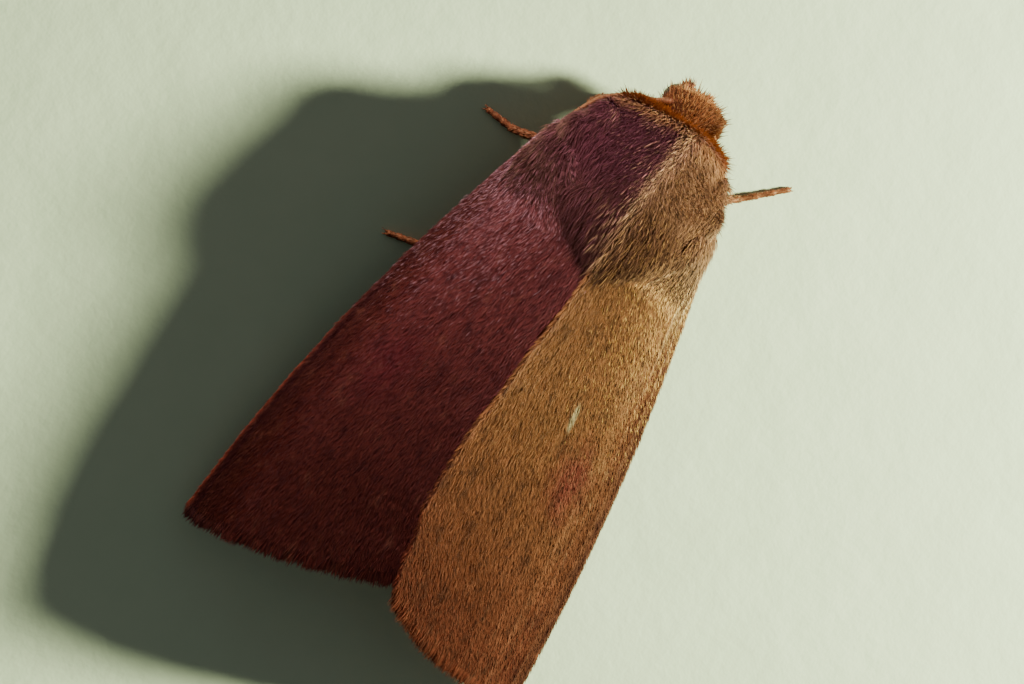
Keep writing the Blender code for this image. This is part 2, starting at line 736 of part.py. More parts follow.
def abdomen_locks(trees):
    rng = random.Random(SEED + 3)
    locks = []
    for row, (y, length) in enumerate(ABDOMEN_ROWS):
        for angle in ABDOMEN_SIDE_ANGLES:
            for step in ABDOMEN_SIDE_STEPS:
                turn = math.radians(angle + (step if angle < 90 else -step))
                lie = (0.3 * math.cos(turn), 1, 0)
                locks.append(coat_lock(rng, ABDOMEN_SECTIONS, y, turn, length, lie, trees, 0.2))
    y, length, count = TAIL_ROW
    for k in range(count):
        lie = (0, 1, 0)
        locks.append(coat_lock(rng, ABDOMEN_SECTIONS, y, 2 * math.pi * k / count, length, lie, trees, 0.05))
    return [made for made in locks if made]


def cut(obj, cutters):
    """Cuts the hidden cutters out of the piece, and applies the cuts."""
    for cutter in cutters:
        cutter.hide_render = True
        cutter.display_type = "WIRE"
        modifier = obj.modifiers.new("cut", "BOOLEAN")
        modifier.operation = "DIFFERENCE"
        modifier.solver = "EXACT"
        modifier.object = cutter
    applied(obj)
    for cutter in cutters:
        bpy.data.objects.remove(cutter)


def applied(obj):
    """Replaces the object's mesh by the evaluated one."""
    bpy.context.view_layer.update()
    graph = bpy.context.evaluated_depsgraph_get()
    mesh = bpy.data.meshes.new_from_object(obj.evaluated_get(graph))
    obj.modifiers.clear()
    obj.data = mesh


def ball(name, centre, radius):
    mesh = bpy.data.meshes.new(name)
    bm = bmesh.new()
    place = Matrix.Translation(centre * MM)
    bmesh.ops.create_icosphere(bm, subdivisions=2, radius=radius * MM, matrix=place)
    bm.to_mesh(mesh)
    bm.free()
    obj = bpy.data.objects.new(name, mesh)
    bpy.context.scene.collection.objects.link(obj)
    return obj


def eye_sockets():
    """Cutters that leave room round each eye."""
    room = EYE_RADIUS + SOCKET_ROOM
    return [ball(f"socket_{side}", mirrored(EYE_AT, side, HEAD_ASIDE), room) for side in (1, -1)]


def centre_on_floor():
    """Moves every piece so that the origin is the middle of the model's footprint, at the floor."""
    bpy.context.view_layer.update()
    pieces = [obj for obj in bpy.data.objects if obj.type == "MESH"]
    corners = [obj.matrix_world @ v.co for obj in pieces for v in obj.data.vertices]
    low = Vector([min(c[k] for c in corners) for k in range(3)])
    high = Vector([max(c[k] for c in corners) for k in range(3)])
    shift = Vector(((low.x + high.x) / 2, (low.y + high.y) / 2, low.z))
    for obj in pieces:
        obj.data.transform(Matrix.Translation(obj.location - shift))
        obj.location = (0, 0, 0)


def both(*stems):
    return [f"{stem}_{word}" for stem in stems for word in ("left", "right")]


def coat_on(core, make_locks, neighbours):
    """Puts the locks on a body piece, clear of the neighbours that are already finished."""
    with_locks(core, make_locks(neighbour_trees(neighbours)), "coat")


def build():
    clear_scene()
    head = body_core("head", HEAD_SECTIONS, "coat", (0, -0.1), HEAD_ASIDE)
    cut(head, eye_sockets())
    collar = body_core("collar", COLLAR_SECTIONS, "coat", (0, 0))
    thorax = body_core("thorax", THORAX_SECTIONS, "coat", (0, 0))
    abdomen = body_core("abdomen", ABDOMEN_SECTIONS, "coat", (0, 0.25))
    for side, word in ((1, "left"), (-1, "right")):
        eye(f"eye_{word}", side)
        palp(f"palp_{word}", side)
        antenna(f"antenna_{word}", side)
        tegula(f"tegula_{word}", side)
        fore_wing(f"forewing_{word}", side)
        hind_wing(f"hindwing_{word}", side)
    proboscis()
    for name, joints in LEGS.items():
        leg(name, joints)
    coat_on(abdomen, abdomen_locks, ["thorax"] + both("hindwing", "forewing", "hindleg"))
    near = ["collar"] + both("forewing", "hindwing", "tegula", "antenna", "midleg", "hindleg")
    coat_on(thorax, thorax_locks, near)
    for side, word in ((1, "left"), (-1, "right")):
        near = ["thorax"] + both("forewing", "antenna", "midleg", "foreleg")
        with_locks(bpy.data.objects["tegula_" + word], tegula_locks(side, neighbour_trees(near)), "coat")
    coat_on(collar, collar_locks, ["head", "thorax"] + both("antenna", "tegula", "foreleg", "eye"))
    coat_on(head, head_locks, ["collar", "proboscis"] + both("antenna", "eye", "palp", "foreleg"))
    centre_on_floor()


build()
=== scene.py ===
"""The looks of a resting moth with its wings folded like a roof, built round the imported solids.

Lengths are in millimetres, in the moth's own frame: it faces -Y, its left side is +X, and the floor is at
z = 0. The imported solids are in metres, moved along y until their footprint is centred. Each new piece is
made in millimetres and settled into the frame once it is finished.
"""

import math

import bmesh
import bpy
import numpy as np
from mathutils import Matrix, Vector
from mathutils.bvhtree import BVHTree


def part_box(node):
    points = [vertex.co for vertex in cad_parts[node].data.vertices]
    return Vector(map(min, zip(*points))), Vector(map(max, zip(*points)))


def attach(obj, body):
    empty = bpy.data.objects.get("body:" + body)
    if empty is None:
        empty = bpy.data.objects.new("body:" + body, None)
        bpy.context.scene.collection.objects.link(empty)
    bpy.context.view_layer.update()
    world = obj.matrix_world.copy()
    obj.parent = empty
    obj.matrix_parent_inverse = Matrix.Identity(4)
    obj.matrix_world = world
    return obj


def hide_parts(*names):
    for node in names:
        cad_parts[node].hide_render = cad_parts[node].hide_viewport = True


MM = 0.001
SEED = 5
SIDES = {"left": 1, "right": -1}
GOLDEN = 0.6180339887498949  # its multiples fall evenly between 0 and 1
BAKE_MAP = "OFBake"
PATCH = 0.003  # width of a tuft's patch on the bake map
MAP_EDGE = 0.02  # free edge of the bake map

# Camera, in the moth's frame
CAMERA_AT = Vector((14.56, 7.57, 64.87))
CAMERA_RIGHT = Vector((-0.8134, -0.5266, 0.2473))
CAMERA_UP = Vector((0.5395, -0.8418, -0.018))
CAMERA_LENS, SENSOR = 77.3, 36.0

# Fore wing at rest: the costa is its low outer edge, and the inner margin runs along the ridge
COSTA_ROOT = np.array((2.98, -6.4, 2.45))
APEX = np.array((5.93, 9.37, 0.68))
COSTA_BOW, COSTA_SAG = 0.55, 0.2
HINGE = np.array((2.22, -5.8, 3.5))
TORNUS = np.array((0.0, 7.74, 4.29))
RIDGE_START = np.array((0.0, -3.15, 4.88))
NOTCH = 1.4
RIDGE_SHIFT = (
    (0.0, 0.0), (0.12, 0.08), (0.37, 0.28), (0.57, 0.46), (0.75, 0.45), (0.9, 0.14), (1.0, -0.08),
)
LAP = {1: 0.0, -1: 0.12}  # the right wing's inner margin lies over the left one's
LAP_RISE = {1: -0.05, -1: 0.05}
LAP_REACH = {1: 0.0, -1: 0.036}  # share of its length by which the upper wing reaches further at the ridge
ROOF_CROWN = 0.34
TERMEN_BULGE = 0.028
APEX_ROUND, APEX_ZONE = 0.02, 0.11
TORNUS_ROUND, TORNUS_ZONE = 0.014, 0.09
FRINGE = 0.6
MEMBRANE_SHARE = 1 - FRINGE / np.linalg.norm(APEX - COSTA_ROOT)
COAT_DEPTH = 0.08  # how far the membrane lies under the solids' top
EDGE_IN = 0.018  # share of the width by which the membrane's costal edge is drawn in
MEMBRANE_THICK = 0.14
VEIN_HEIGHT, VEIN_WIDTH = 0.012, 0.016
FORE_VEINS = (
    (0.05, 0.0),
    (0.14, 0.0),
    (0.24, 0.0),
    (0.34, 0.56),
    (0.44, 0.56),
    (0.54, 0.56),
    (0.65, 0.0),
    (0.77, 0.36),
    (0.89, 0.0),
)
HIND_FROM, HIND_TO = 0.07, 0.9
HIND_VEINS = ((0.14, 0.0), (0.38, 0.45), (0.62, 0.0), (0.86, 0.0))
HIND_DEPTH = 0.9  # how far the hind wing lies under the fore wing's top
WING_GRID = (150, 60)
HIND_GRID = (70, 26)

# Body sections: place along y, half width below, lowest z, highest z, half width above, how far the top is
# a crest, and the crest's x
HEAD_ASIDE = -0.45
HEAD_SECTIONS = (
    (-9.25, 0.02, 2.3, 2.4, 0.02, 0.0, 0.0),
    (-9.2, 0.42, 1.7, 2.75, 0.5, 0.0, 0.0),
    (-8.95, 0.68, 1.5, 3.1, 0.95, 0.0, 0.0),
    (-8.6, 0.74, 1.45, 3.25, 1.02, 0.0, 0.0),
    (-8.3, 0.6, 1.6, 3.2, 0.85, 0.0, 0.0),
    (-7.6, 0.5, 1.8, 2.9, 0.5, 0.0, 0.0),
    (-7.5, 0.02, 2.3, 2.4, 0.02, 0.0, 0.0),
)
TRUNK_SECTIONS = (
    (-8.1, 0.02, 2.6, 2.8, 0.02, 0.0, 0.0),
    (-8.05, 1.1, 1.9, 3.95, 1.3, 0.4, -0.5),
    (-7.88, 1.5, 1.65, 4.6, 1.85, 0.85, -0.42),
    (-7.5, 1.8, 1.6, 4.9, 2.2, 1.0, -0.34),
    (-7.0, 1.95, 1.6, 5.04, 2.45, 1.0, -0.26),
    (-6.4, 1.95, 1.6, 5.12, 2.6, 1.0, -0.12),
    (-5.8, 1.92, 1.55, 5.18, 2.6, 0.95, 0.02),
    (-5.2, 1.85, 1.5, 5.2, 2.45, 0.8, 0.08),
    (-4.5, 1.55, 1.4, 5.14, 2.25, 0.45, 0.12),
    (-3.9, 1.2, 1.3, 5.04, 1.85, 0.2, 0.12),
    (-3.4, 1.0, 1.25, 4.96, 1.35, 0.1, 0.1),
    (-2.9, 1.0, 1.1, 4.82, 0.7, 0.0, 0.05),
    (-2.75, 1.1, 1.05, 4.5, 0.6, 0.0, 0.0),
    (-2.5, 1.3, 0.95, 3.0, 1.2, 0.0, 0.0),
    (-1.6, 1.5, 0.65, 2.75, 1.5, 0.0, 0.0),
    (0.0, 1.5, 0.4, 2.55, 1.5, 0.0, 0.0),
    (1.6, 1.4, 0.25, 2.25, 1.4, 0.0, 0.0),
    (3.1, 1.15, 0.2, 1.9, 1.15, 0.0, 0.0),
    (4.3, 0.8, 0.25, 1.55, 0.8, 0.0, 0.0),
    (4.9, 0.5, 0.35, 1.25, 0.5, 0.0, 0.0),
    (5.15, 0.02, 0.7, 0.8, 0.02, 0.0, 0.0),
)
CREST_SHAPE = 1.15  # 1 is a sharp roof and 2 a round one
SHOULDER_AT, SHOULDER_RADII = np.array((2.2, -6.2, 2.9)), np.array((0.62, 0.75, 0.75))
TEGULA_AT, TEGULA_RADII = np.array((2.04, -6.75, 3.55)), np.array((0.2, 0.7, 0.6))
TEGULA_LEAN = math.radians(46)
PALP_PATH = ((0.34, -9.0, 1.5), (0.37, -9.35, 1.35), (0.37, -9.55, 1.6), (0.32, -9.65, 2.0))
PALP_RADII = (0.2, 0.2, 0.2, 0.08)
SKIN_VOXEL = 0.075

# Head pieces
EYE_AT, EYE_RADIUS = np.array((0.72, -9.0, 2.15)), 0.42  # x is counted from the middle of the head
EYE_SUNK, EYE_SHAPE = (0.06, 0, 0.02), (0.86, 1.0, 1.0)
PROBOSCIS_AT = np.array((0.0, -8.95, 0.82))
PROBOSCIS_COIL, PROBOSCIS_TUBE, PROBOSCIS_TURNS = 0.3, 0.075, 2.6
ANTENNA_RADIUS, ANTENNA_TIP = 0.11, 0.04
ANTENNA_START = {
    1: ((0.12, -8.72, 2.9), (0.5, -8.58, 2.8), (0.82, -8.42, 2.4), (1.25, -8.36, 1.95)),
    -1: ((1.0, -8.65, 2.9), (1.28, -8.48, 2.75), (1.52, -8.33, 2.4), (1.72, -8.22, 1.98)),
}
ANTENNA_REST = (
    (1.95, -7.85, 1.75),
    (2.35, -7.2, 1.72),
    (2.72, -6.3, 1.62),
    (3.15, -5.2, 1.45),
    (3.42, -3.9, 1.3),
    (3.6, -2.6, 1.12),
)

# Legs: root, hip, knee, ankle, and the foot's two points
LEGS = {
    "foreleg_right": ((-0.72, -7.2, 1.22), (-1.0, -7.7, 0.85), (-2.5, -8.05, 0.95), (-3.2, -7.65, 0.5),
                      (-3.6, -7.95, 0.26), (-5.0, -9.27, 0.26)),
    "foreleg_left": ((0.72, -7.2, 1.22), (1.0, -7.35, 0.85), (1.95, -7.65, 0.9), (1.75, -8.1, 0.48),
                     (1.4, -8.35, 0.26), (0.2, -9.1, 0.26)),
    "midleg_left": ((0.9, -6.1, 1.25), (1.2, -6.15, 0.9), (2.35, -6.35, 0.95), (2.7, -5.95, 0.45),
                    (3.5, -5.8, 0.26), (4.51, -5.88, 0.26)),
    "midleg_right": ((-0.9, -6.1, 1.25), (-1.2, -6.15, 0.9), (-2.3, -6.2, 0.95), (-2.55, -5.5, 0.45),
                     (-2.75, -4.9, 0.26), (-3.15, -3.9, 0.26)),
    "hindleg_left": ((0.8, -4.75, 1.3), (1.2, -4.7, 0.9), (2.45, -3.9, 0.95), (2.85, -1.75, 0.5),
                     (3.93, -1.31, 0.26), (5.07, -1.03, 0.26)),
    "hindleg_right": ((-0.8, -4.75, 1.3), (-1.2, -4.7, 0.9), (-2.4, -3.7, 0.98), (-2.6, -0.9, 0.45),
                      (-2.75, -0.3, 0.26), (-3.2, 2.6, 0.26)),
}

FOOT_JOINTS = 5

# Where the coat changes along the body
NECK, PALPS_FROM, FLEECE_END = -7.98, -9.25, -3.0
FLEECE_ZONES = (("head", -11, -7.0), ("thorax", -7.0, -5.3), ("thorax_rear", -5.3, 0))

# Coats: how many tufts, their length, width and lift, and on the body how far their directions stray
WING_SCALES = (64000, 0.22, 0.045, 0.07)
UNDER_SCALES = (5000, 0.42, 0.17, 0.03)
HIND_SCALES = (4000, 0.42, 0.17, 0.03)
FLEECE = (95000, 0.2, 0.028, 0.07, 0.13)
LONG_STRANDS = (8000, 0.32, 0.025, 0.1, 0.16)
BELLY_WOOL = (18000, 0.5, 0.08, 0.12, 0.14)
FRINGE_HAIRS, ROOT_HAIRS, SEAM_HAIRS = 5500, 3500, 2500
FRONT_STRANDS, BASE_STRANDS, LEG_HAIRS = 5000, 9000, 900

# A tuft's rings, from root to tip: place along it, share of its width, share of its lift
SCALE = ((0.0, 1.0, 0.0),)
HAIR = ((0.0, 0.85, 0.0), (0.5, 1.0, 0.7))
PLUMP = 0.45  # how high a tuft's crest stands, as a share of its width
SUNK = 0.02  # how deep a tuft's root sits in the skin
FLOOR_GAP = 0.04  # lowest place of a body tuft's tip
ROOM = 1.0  # how far up a body hair looks for a wing over it

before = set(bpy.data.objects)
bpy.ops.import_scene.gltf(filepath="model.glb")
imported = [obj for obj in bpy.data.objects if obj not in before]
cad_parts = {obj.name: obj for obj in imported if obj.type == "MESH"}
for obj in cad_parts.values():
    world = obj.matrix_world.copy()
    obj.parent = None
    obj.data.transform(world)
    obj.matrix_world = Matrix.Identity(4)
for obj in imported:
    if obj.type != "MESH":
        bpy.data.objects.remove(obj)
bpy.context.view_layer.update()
eye_low, eye_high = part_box("eye_left")
SHIFT = np.array((eye_low + eye_high) / 2) / MM - (EYE_AT + (HEAD_ASIDE, 0, 0))
rng = np.random.default_rng(SEED)


# Numbers and places

def smooth(t):
    """0 to 1 with flat ends."""
    t = np.clip(t, 0.0, 1.0)
    return t * t * (3 - 2 * t)


def eased(t, table):
    """A smooth curve through the table's points."""
    at, values = np.array(table).T
    k = np.clip(np.searchsorted(at, t, side="right") - 1, 0, len(at) - 2)
    return values[k] + (values[k + 1] - values[k]) * smooth((t - at[k]) / (at[k + 1] - at[k]))


def unit(a):
    return a / np.maximum(np.linalg.norm(a, axis=-1, keepdims=True), 1e-9)


def flattened(direction, out, stand):
    """The direction turned into the surface. stand is the share that still leaves it."""
    along = direction - out * ((direction * out).sum(-1, keepdims=True) * (1 - stand))
    return unit(along)


def swayed(along, out, drift):
    """The direction turned aside in the surface, by drift times its own length."""
    return unit(along + np.cross(along, out) * drift[:, None])


def wander(points, size, turn):
    """A slow wave from -1 to 1 over space, alike for neighbours. turn picks another one."""
    a = points / size
    return (np.sin(a[:, 0] * 1.7 + a[:, 1] * 0.9 + turn) + np.sin(a[:, 1] * 2.1 - a[:, 2] * 1.3 + 2 * turn)
            + np.sin(a[:, 0] * 0.8 - a[:, 2] * 2.3 + a[:, 1] * 1.1 + 3 * turn)) / 3


# Wing surface

def roof(u, v, side):
    """Points on the top of a fore wing: u runs from root to tip and v from costa to ridge."""
    u, v = np.broadcast_arrays(np.asarray(u, float), np.asarray(v, float))
    hump = 4 * u * (1 - u)
    low = COSTA_ROOT + (APEX - COSTA_ROOT) * u[..., None]
    low = low + np.stack([COSTA_BOW * hump, 0 * hump, -COSTA_SAG * hump], -1)
    y = HINGE[1] + (TORNUS[1] - HINGE[1]) * u
    climb = np.clip((y - HINGE[1]) / (RIDGE_START[1] - HINGE[1]), 0, 1)
    along = np.clip((y - RIDGE_START[1]) / (TORNUS[1] - RIDGE_START[1]), 0, 1)
    ridge_x = side * (eased(along, RIDGE_SHIFT) + LAP[side] * smooth(climb))
    ridge_z = RIDGE_START[2] + (TORNUS[2] - RIDGE_START[2]) * along + LAP_RISE[side] * smooth(climb)
    x = ridge_x + (HINGE[0] - ridge_x) * (1 - climb ** 2) ** NOTCH
    high = np.stack([x, y, HINGE[2] + (ridge_z - HINGE[2]) * climb * (1.3 - 0.3 * climb)], -1)
    flat = low + (high - low) * v[..., None]
    turn = v * math.pi / 2
    round_x = high[..., 0] + (low[..., 0] - high[..., 0]) * np.cos(turn)
    round_z = low[..., 2] + (high[..., 2] - low[..., 2]) * np.sin(turn)
    crowned = np.stack([round_x, flat[..., 1], round_z], -1)
    place = flat + (crowned - flat) * ROOF_CROWN
    return place * np.array((side, 1, 1))


def facing_up(surface, u, v, side, step=0.004):
    """The upper side's normal of a wing surface, and its direction of growing u."""
    u0, v0 = np.clip(u, step, 1 - step), np.clip(v, step, 1 - step)
    along = surface(u0 + step, v0) - surface(u0 - step, v0)
    across = surface(u0, v0 + step) - surface(u0, v0 - step)
    return unit(np.cross(along, across)) * side, unit(along)


def outline_reach(v, side):
    """Share of the full length that the wing reaches at a place across it."""
    reach = 1 + TERMEN_BULGE * 4 * v * (1 - v) + LAP_REACH[side] * smooth((v - 0.3) / 0.5)
    reach = reach - APEX_ROUND * np.maximum(1 - v / APEX_ZONE, 0) ** 2
    return reach - TORNUS_ROUND * np.maximum((v - 1 + TORNUS_ZONE) / TORNUS_ZONE, 0) ** 2


def ridges(veins, u, v):
    """Height of the veins over the membrane."""
    height = 0 * u
    for place, start in veins:
        shown = smooth((u - start) / 0.06 + (start == 0))
        height = height + np.exp(-((v - place) / VEIN_WIDTH) ** 2) * shown
    return VEIN_HEIGHT * np.clip(height, 0, 1)


def fore_top(side):
    """The fore wing's membrane, as a function of u and v from 0 to 1."""
    def surface(u, v):
        across = EDGE_IN + (1 - EDGE_IN) * v
        out = u * outline_reach(across, side) * MEMBRANE_SHARE
        normal, _ = facing_up(lambda a, b: roof(a, b, side), out, across, side)
        depth = COAT_DEPTH - ridges(FORE_VEINS, u, across)
        return roof(out, across, side) - normal * depth[..., None]
    return surface


def hind_top(side):
    """The hind wing's membrane, folded under the fore wing."""
    def surface(u, v):
        spread = smooth(u / 0.45)
        inner, outer = 0.93 - 0.07 * spread, 0.68 - 0.36 * spread
        rounded = 0.07 * (np.abs(2 * v - 1) ** 2.5) * smooth((u - 0.5) / 0.5)
        out, across = HIND_FROM + (HIND_TO - HIND_FROM) * u - rounded, outer + (inner - outer) * v
        normal, _ = facing_up(lambda a, b: roof(a, b, side), out, across, side)
        down = normal + (np.array((0, 0, 1)) - normal) * smooth((across - 0.55) / 0.45)[..., None]
        depth = HIND_DEPTH - ridges(HIND_VEINS, u, v)
        return roof(out, across, side) - unit(down) * depth[..., None]
    return surface


# Pieces from primitives

def fresh():
    bpy.ops.object.select_all(action="DESELECT")


def only(obj):
    fresh()
    obj.select_set(True)
    bpy.context.view_layer.objects.active = obj


def corners_of(obj):
    co = np.empty(len(obj.data.vertices) * 3, np.float32)
    obj.data.vertices.foreach_get("co", co)
    return co.reshape(-1, 3).astype(float)


def move_corners(obj, points):
    obj.data.vertices.foreach_set("co", np.asarray(points, np.float32).ravel())
    obj.data.update()


def apply_modifier(obj, name, kind, **settings):
    only(obj)
    modifier = obj.modifiers.new(name, kind)
    for key, value in settings.items():
        setattr(modifier, key, value)
    bpy.ops.object.modifier_apply(modifier=name)


def named(obj, name):
    obj.name = name
    obj.data.name = name
    return obj


def joined(pieces, name):
    fresh()
    for piece in pieces:
        piece.select_set(True)
    bpy.context.view_layer.objects.active = pieces[0]
    bpy.ops.object.join()
    return named(bpy.context.object, name)


def settled(obj, finish, slot, *nodes):
    """Brings a finished piece from millimetres into the frame, gives it its finish and hides the solids
    that it stands for.
    """
    obj.data.transform(Matrix.Scale(MM, 4) @ Matrix.Translation(Vector(SHIFT)))
    obj.data.materials.clear()
    obj.data.materials.append(finish)
    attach(obj, "root")
    if nodes:
        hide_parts(*nodes)
    return obj


def lump(name, sections, aside=0.0):
    """A ball drawn out through the body sections."""
    fresh()
    bpy.ops.mesh.primitive_uv_sphere_add(segments=64, ring_count=96, radius=1)
    obj = named(bpy.context.object, name)
    co = corners_of(obj)
    table = np.array(sections)
    share = np.arccos(np.clip(co[:, 2], -1, 1)) / math.pi
    y = table[0, 0] + (table[-1, 0] - table[0, 0]) * share
    below, low, high, above, crest, crest_x = (np.interp(y, table[:, 0], table[:, k]) for k in range(1, 7))
    angle = np.arctan2(co[:, 1], co[:, 0])
    across, up = np.cos(angle), np.sin(angle)
    half = below + (above - below) * smooth((up + 0.35) / 0.6)
    off = across - crest_x / np.maximum(half, 0.3)
    slope = np.abs(off) / (1 - np.sign(off) * crest_x / np.maximum(half, 0.3))
    up = up + (1 - slope ** CREST_SHAPE - up) * crest * (up > 0)
    pole = np.hypot(co[:, 0], co[:, 1]) < 1e-4
    half, tall = np.where(pole, 0, half), np.where(pole, 0, (high - low) / 2)
    move_corners(obj, np.stack([aside + half * across, y, (low + high) / 2 + tall * up], 1))
    return obj


def tube(name, route, radii, rounds=3):
    """A closed round tube along the route."""
    fresh()
    bpy.ops.curve.primitive_nurbs_path_add()
    obj = bpy.context.object
    curve = obj.data
    curve.splines.clear()
    spline = curve.splines.new("POLY")
    spline.points.add(len(route) - 1)
    for point, place, radius in zip(spline.points, route, radii):
        point.co = (*place, 1)
        point.radius = radius
    curve.dimensions = "3D"
    curve.bevel_depth = 1.0
    curve.bevel_resolution = rounds
    curve.use_fill_caps = True
    only(obj)
    bpy.ops.object.convert(target="MESH")
    obj = named(bpy.context.object, name)
    bm = bmesh.new()
    bm.from_mesh(obj.data)
    bmesh.ops.remove_doubles(bm, verts=bm.verts, dist=0.0005)
    bmesh.ops.recalc_face_normals(bm, faces=bm.faces)
    bm.to_mesh(obj.data)
    bm.free()
    obj.data.shade_smooth()
    return obj


def eased_route(points, steps):
    """A smooth curve through the points, read at even steps of each stretch."""
    points = [np.array(p, float) for p in points]
    route = []
    for k in range(len(points) - 1):
        before, after = points[max(k - 1, 0)], points[min(k + 2, len(points) - 1)]
        a, b = points[k], points[k + 1]
        for j in range(steps):
            t = j / steps
            pull = (b - before) * 0.5 * (t - 2 * t * t + t ** 3) + (after - a) * 0.5 * (t ** 3 - t * t)
            route.append(a + (b - a) * (3 * t * t - 2 * t ** 3) + pull)
    return route + [points[-1]]


# Tufts

def tufts(name, coat, shape, finish, slot):
    """One mesh of closed tapered tufts.

    coat holds an array for each of root, along, out, length, width, lift, patch (the root's place on the
    skin's unwrap), place (what the markings read) and tint.
    """
    count = len(coat["root"])
    leaning = np.abs((coat["along"] * coat["out"]).sum(1, keepdims=True)) > 0.95
    across = unit(np.cross(coat["along"], np.where(leaning, coat["out"][:, [2, 0, 1]], coat["out"])))
    above = np.cross(across, coat["along"])
    length, width, lift = (coat[key][:, None] for key in ("length", "width", "lift"))
    points, flat, reach = [], [], []
    for t, wide, rise in shape:
        middle = coat["root"] + coat["along"] * length * t + coat["out"] * lift * rise
        half = across * width * wide / 2
        points += [middle - half, middle + half, middle + above * width * wide * PLUMP]
        flat += [(-0.5, t - 0.5), (0.5, t - 0.5), (0.0, t - 0.3)]
        reach += [t] * 3
    points.append(coat["root"] + coat["along"] * length + coat["out"] * lift)
    flat.append((0.0, 0.5))
    reach.append(1.0)
    faces = [(0, 1, 2)]
    for r in range(len(shape) - 1):
        for k in range(3):
            a, b = 3 * r + k, 3 * r + (k + 1) % 3
            faces += [(a, a + 3, b + 3), (a, b + 3, b)]
    last = 3 * (len(shape) - 1)
    faces += [(last + k, len(points) - 1, last + (k + 1) % 3) for k in range(3)]
    each = len(points)
    corners = (np.arange(count)[:, None, None] * each + np.array(faces)).reshape(-1, 3)
    mesh = bpy.data.meshes.new(name)
    mesh.vertices.add(count * each)
    mesh.vertices.foreach_set("co", np.stack(points, 1).astype(np.float32).ravel())
    mesh.loops.add(corners.size)
    mesh.loops.foreach_set("vertex_index", corners.astype(np.int32).ravel())
    mesh.polygons.add(len(corners))
    mesh.polygons.foreach_set("loop_start", np.arange(0, corners.size, 3, dtype=np.int32))
    mesh.update(calc_edges=True)
    mesh.shade_flat()
    spots = (coat["patch"][:, None, :] + PATCH * np.array(flat)).reshape(-1, 2)
    mesh.uv_layers.new(name=BAKE_MAP).uv.foreach_set("vector", spots[corners].astype(np.float32).ravel())
    write_attribute(mesh, "place", "FLOAT_VECTOR", np.repeat(coat["place"], each, 0))
    write_attribute(mesh, "tint", "FLOAT", np.repeat(coat["tint"], each))
    write_attribute(mesh, "reach", "FLOAT", np.tile(reach, count))
    obj = bpy.data.objects.new(name, mesh)
    bpy.context.scene.collection.objects.link(obj)
    return settled(obj, finish, slot)


def coat_of(root, along, out, length, width, lift, patch, place, sunk=SUNK, darkest=0.0):
    """A coat for tufts(), with each root sunk into the skin and a random tint from darkest to 1."""
    return {
        "root": root - out * sunk, "along": along, "out": out, "length": length, "width": width,
        "lift": lift, "patch": patch, "place": place, "tint": rng.uniform(darkest, 1, len(root)),
    }


def patch_at(a, b):
    """A tuft's patch on the bake map, for places from 0 to 1 on the unwrap."""
    return MAP_EDGE + (1 - 2 * MAP_EDGE) * np.column_stack([a, b])


def write_attribute(mesh, name, kind, values):
    key = "vector" if kind == "FLOAT_VECTOR" else "value"
    layer = mesh.attributes.new(name, kind, "POINT")
    layer.data.foreach_set(key, np.asarray(values, np.float32).ravel())


def part_of(coat, chosen):
    return {key: values[chosen] for key, values in coat.items()}


# Shader helpers

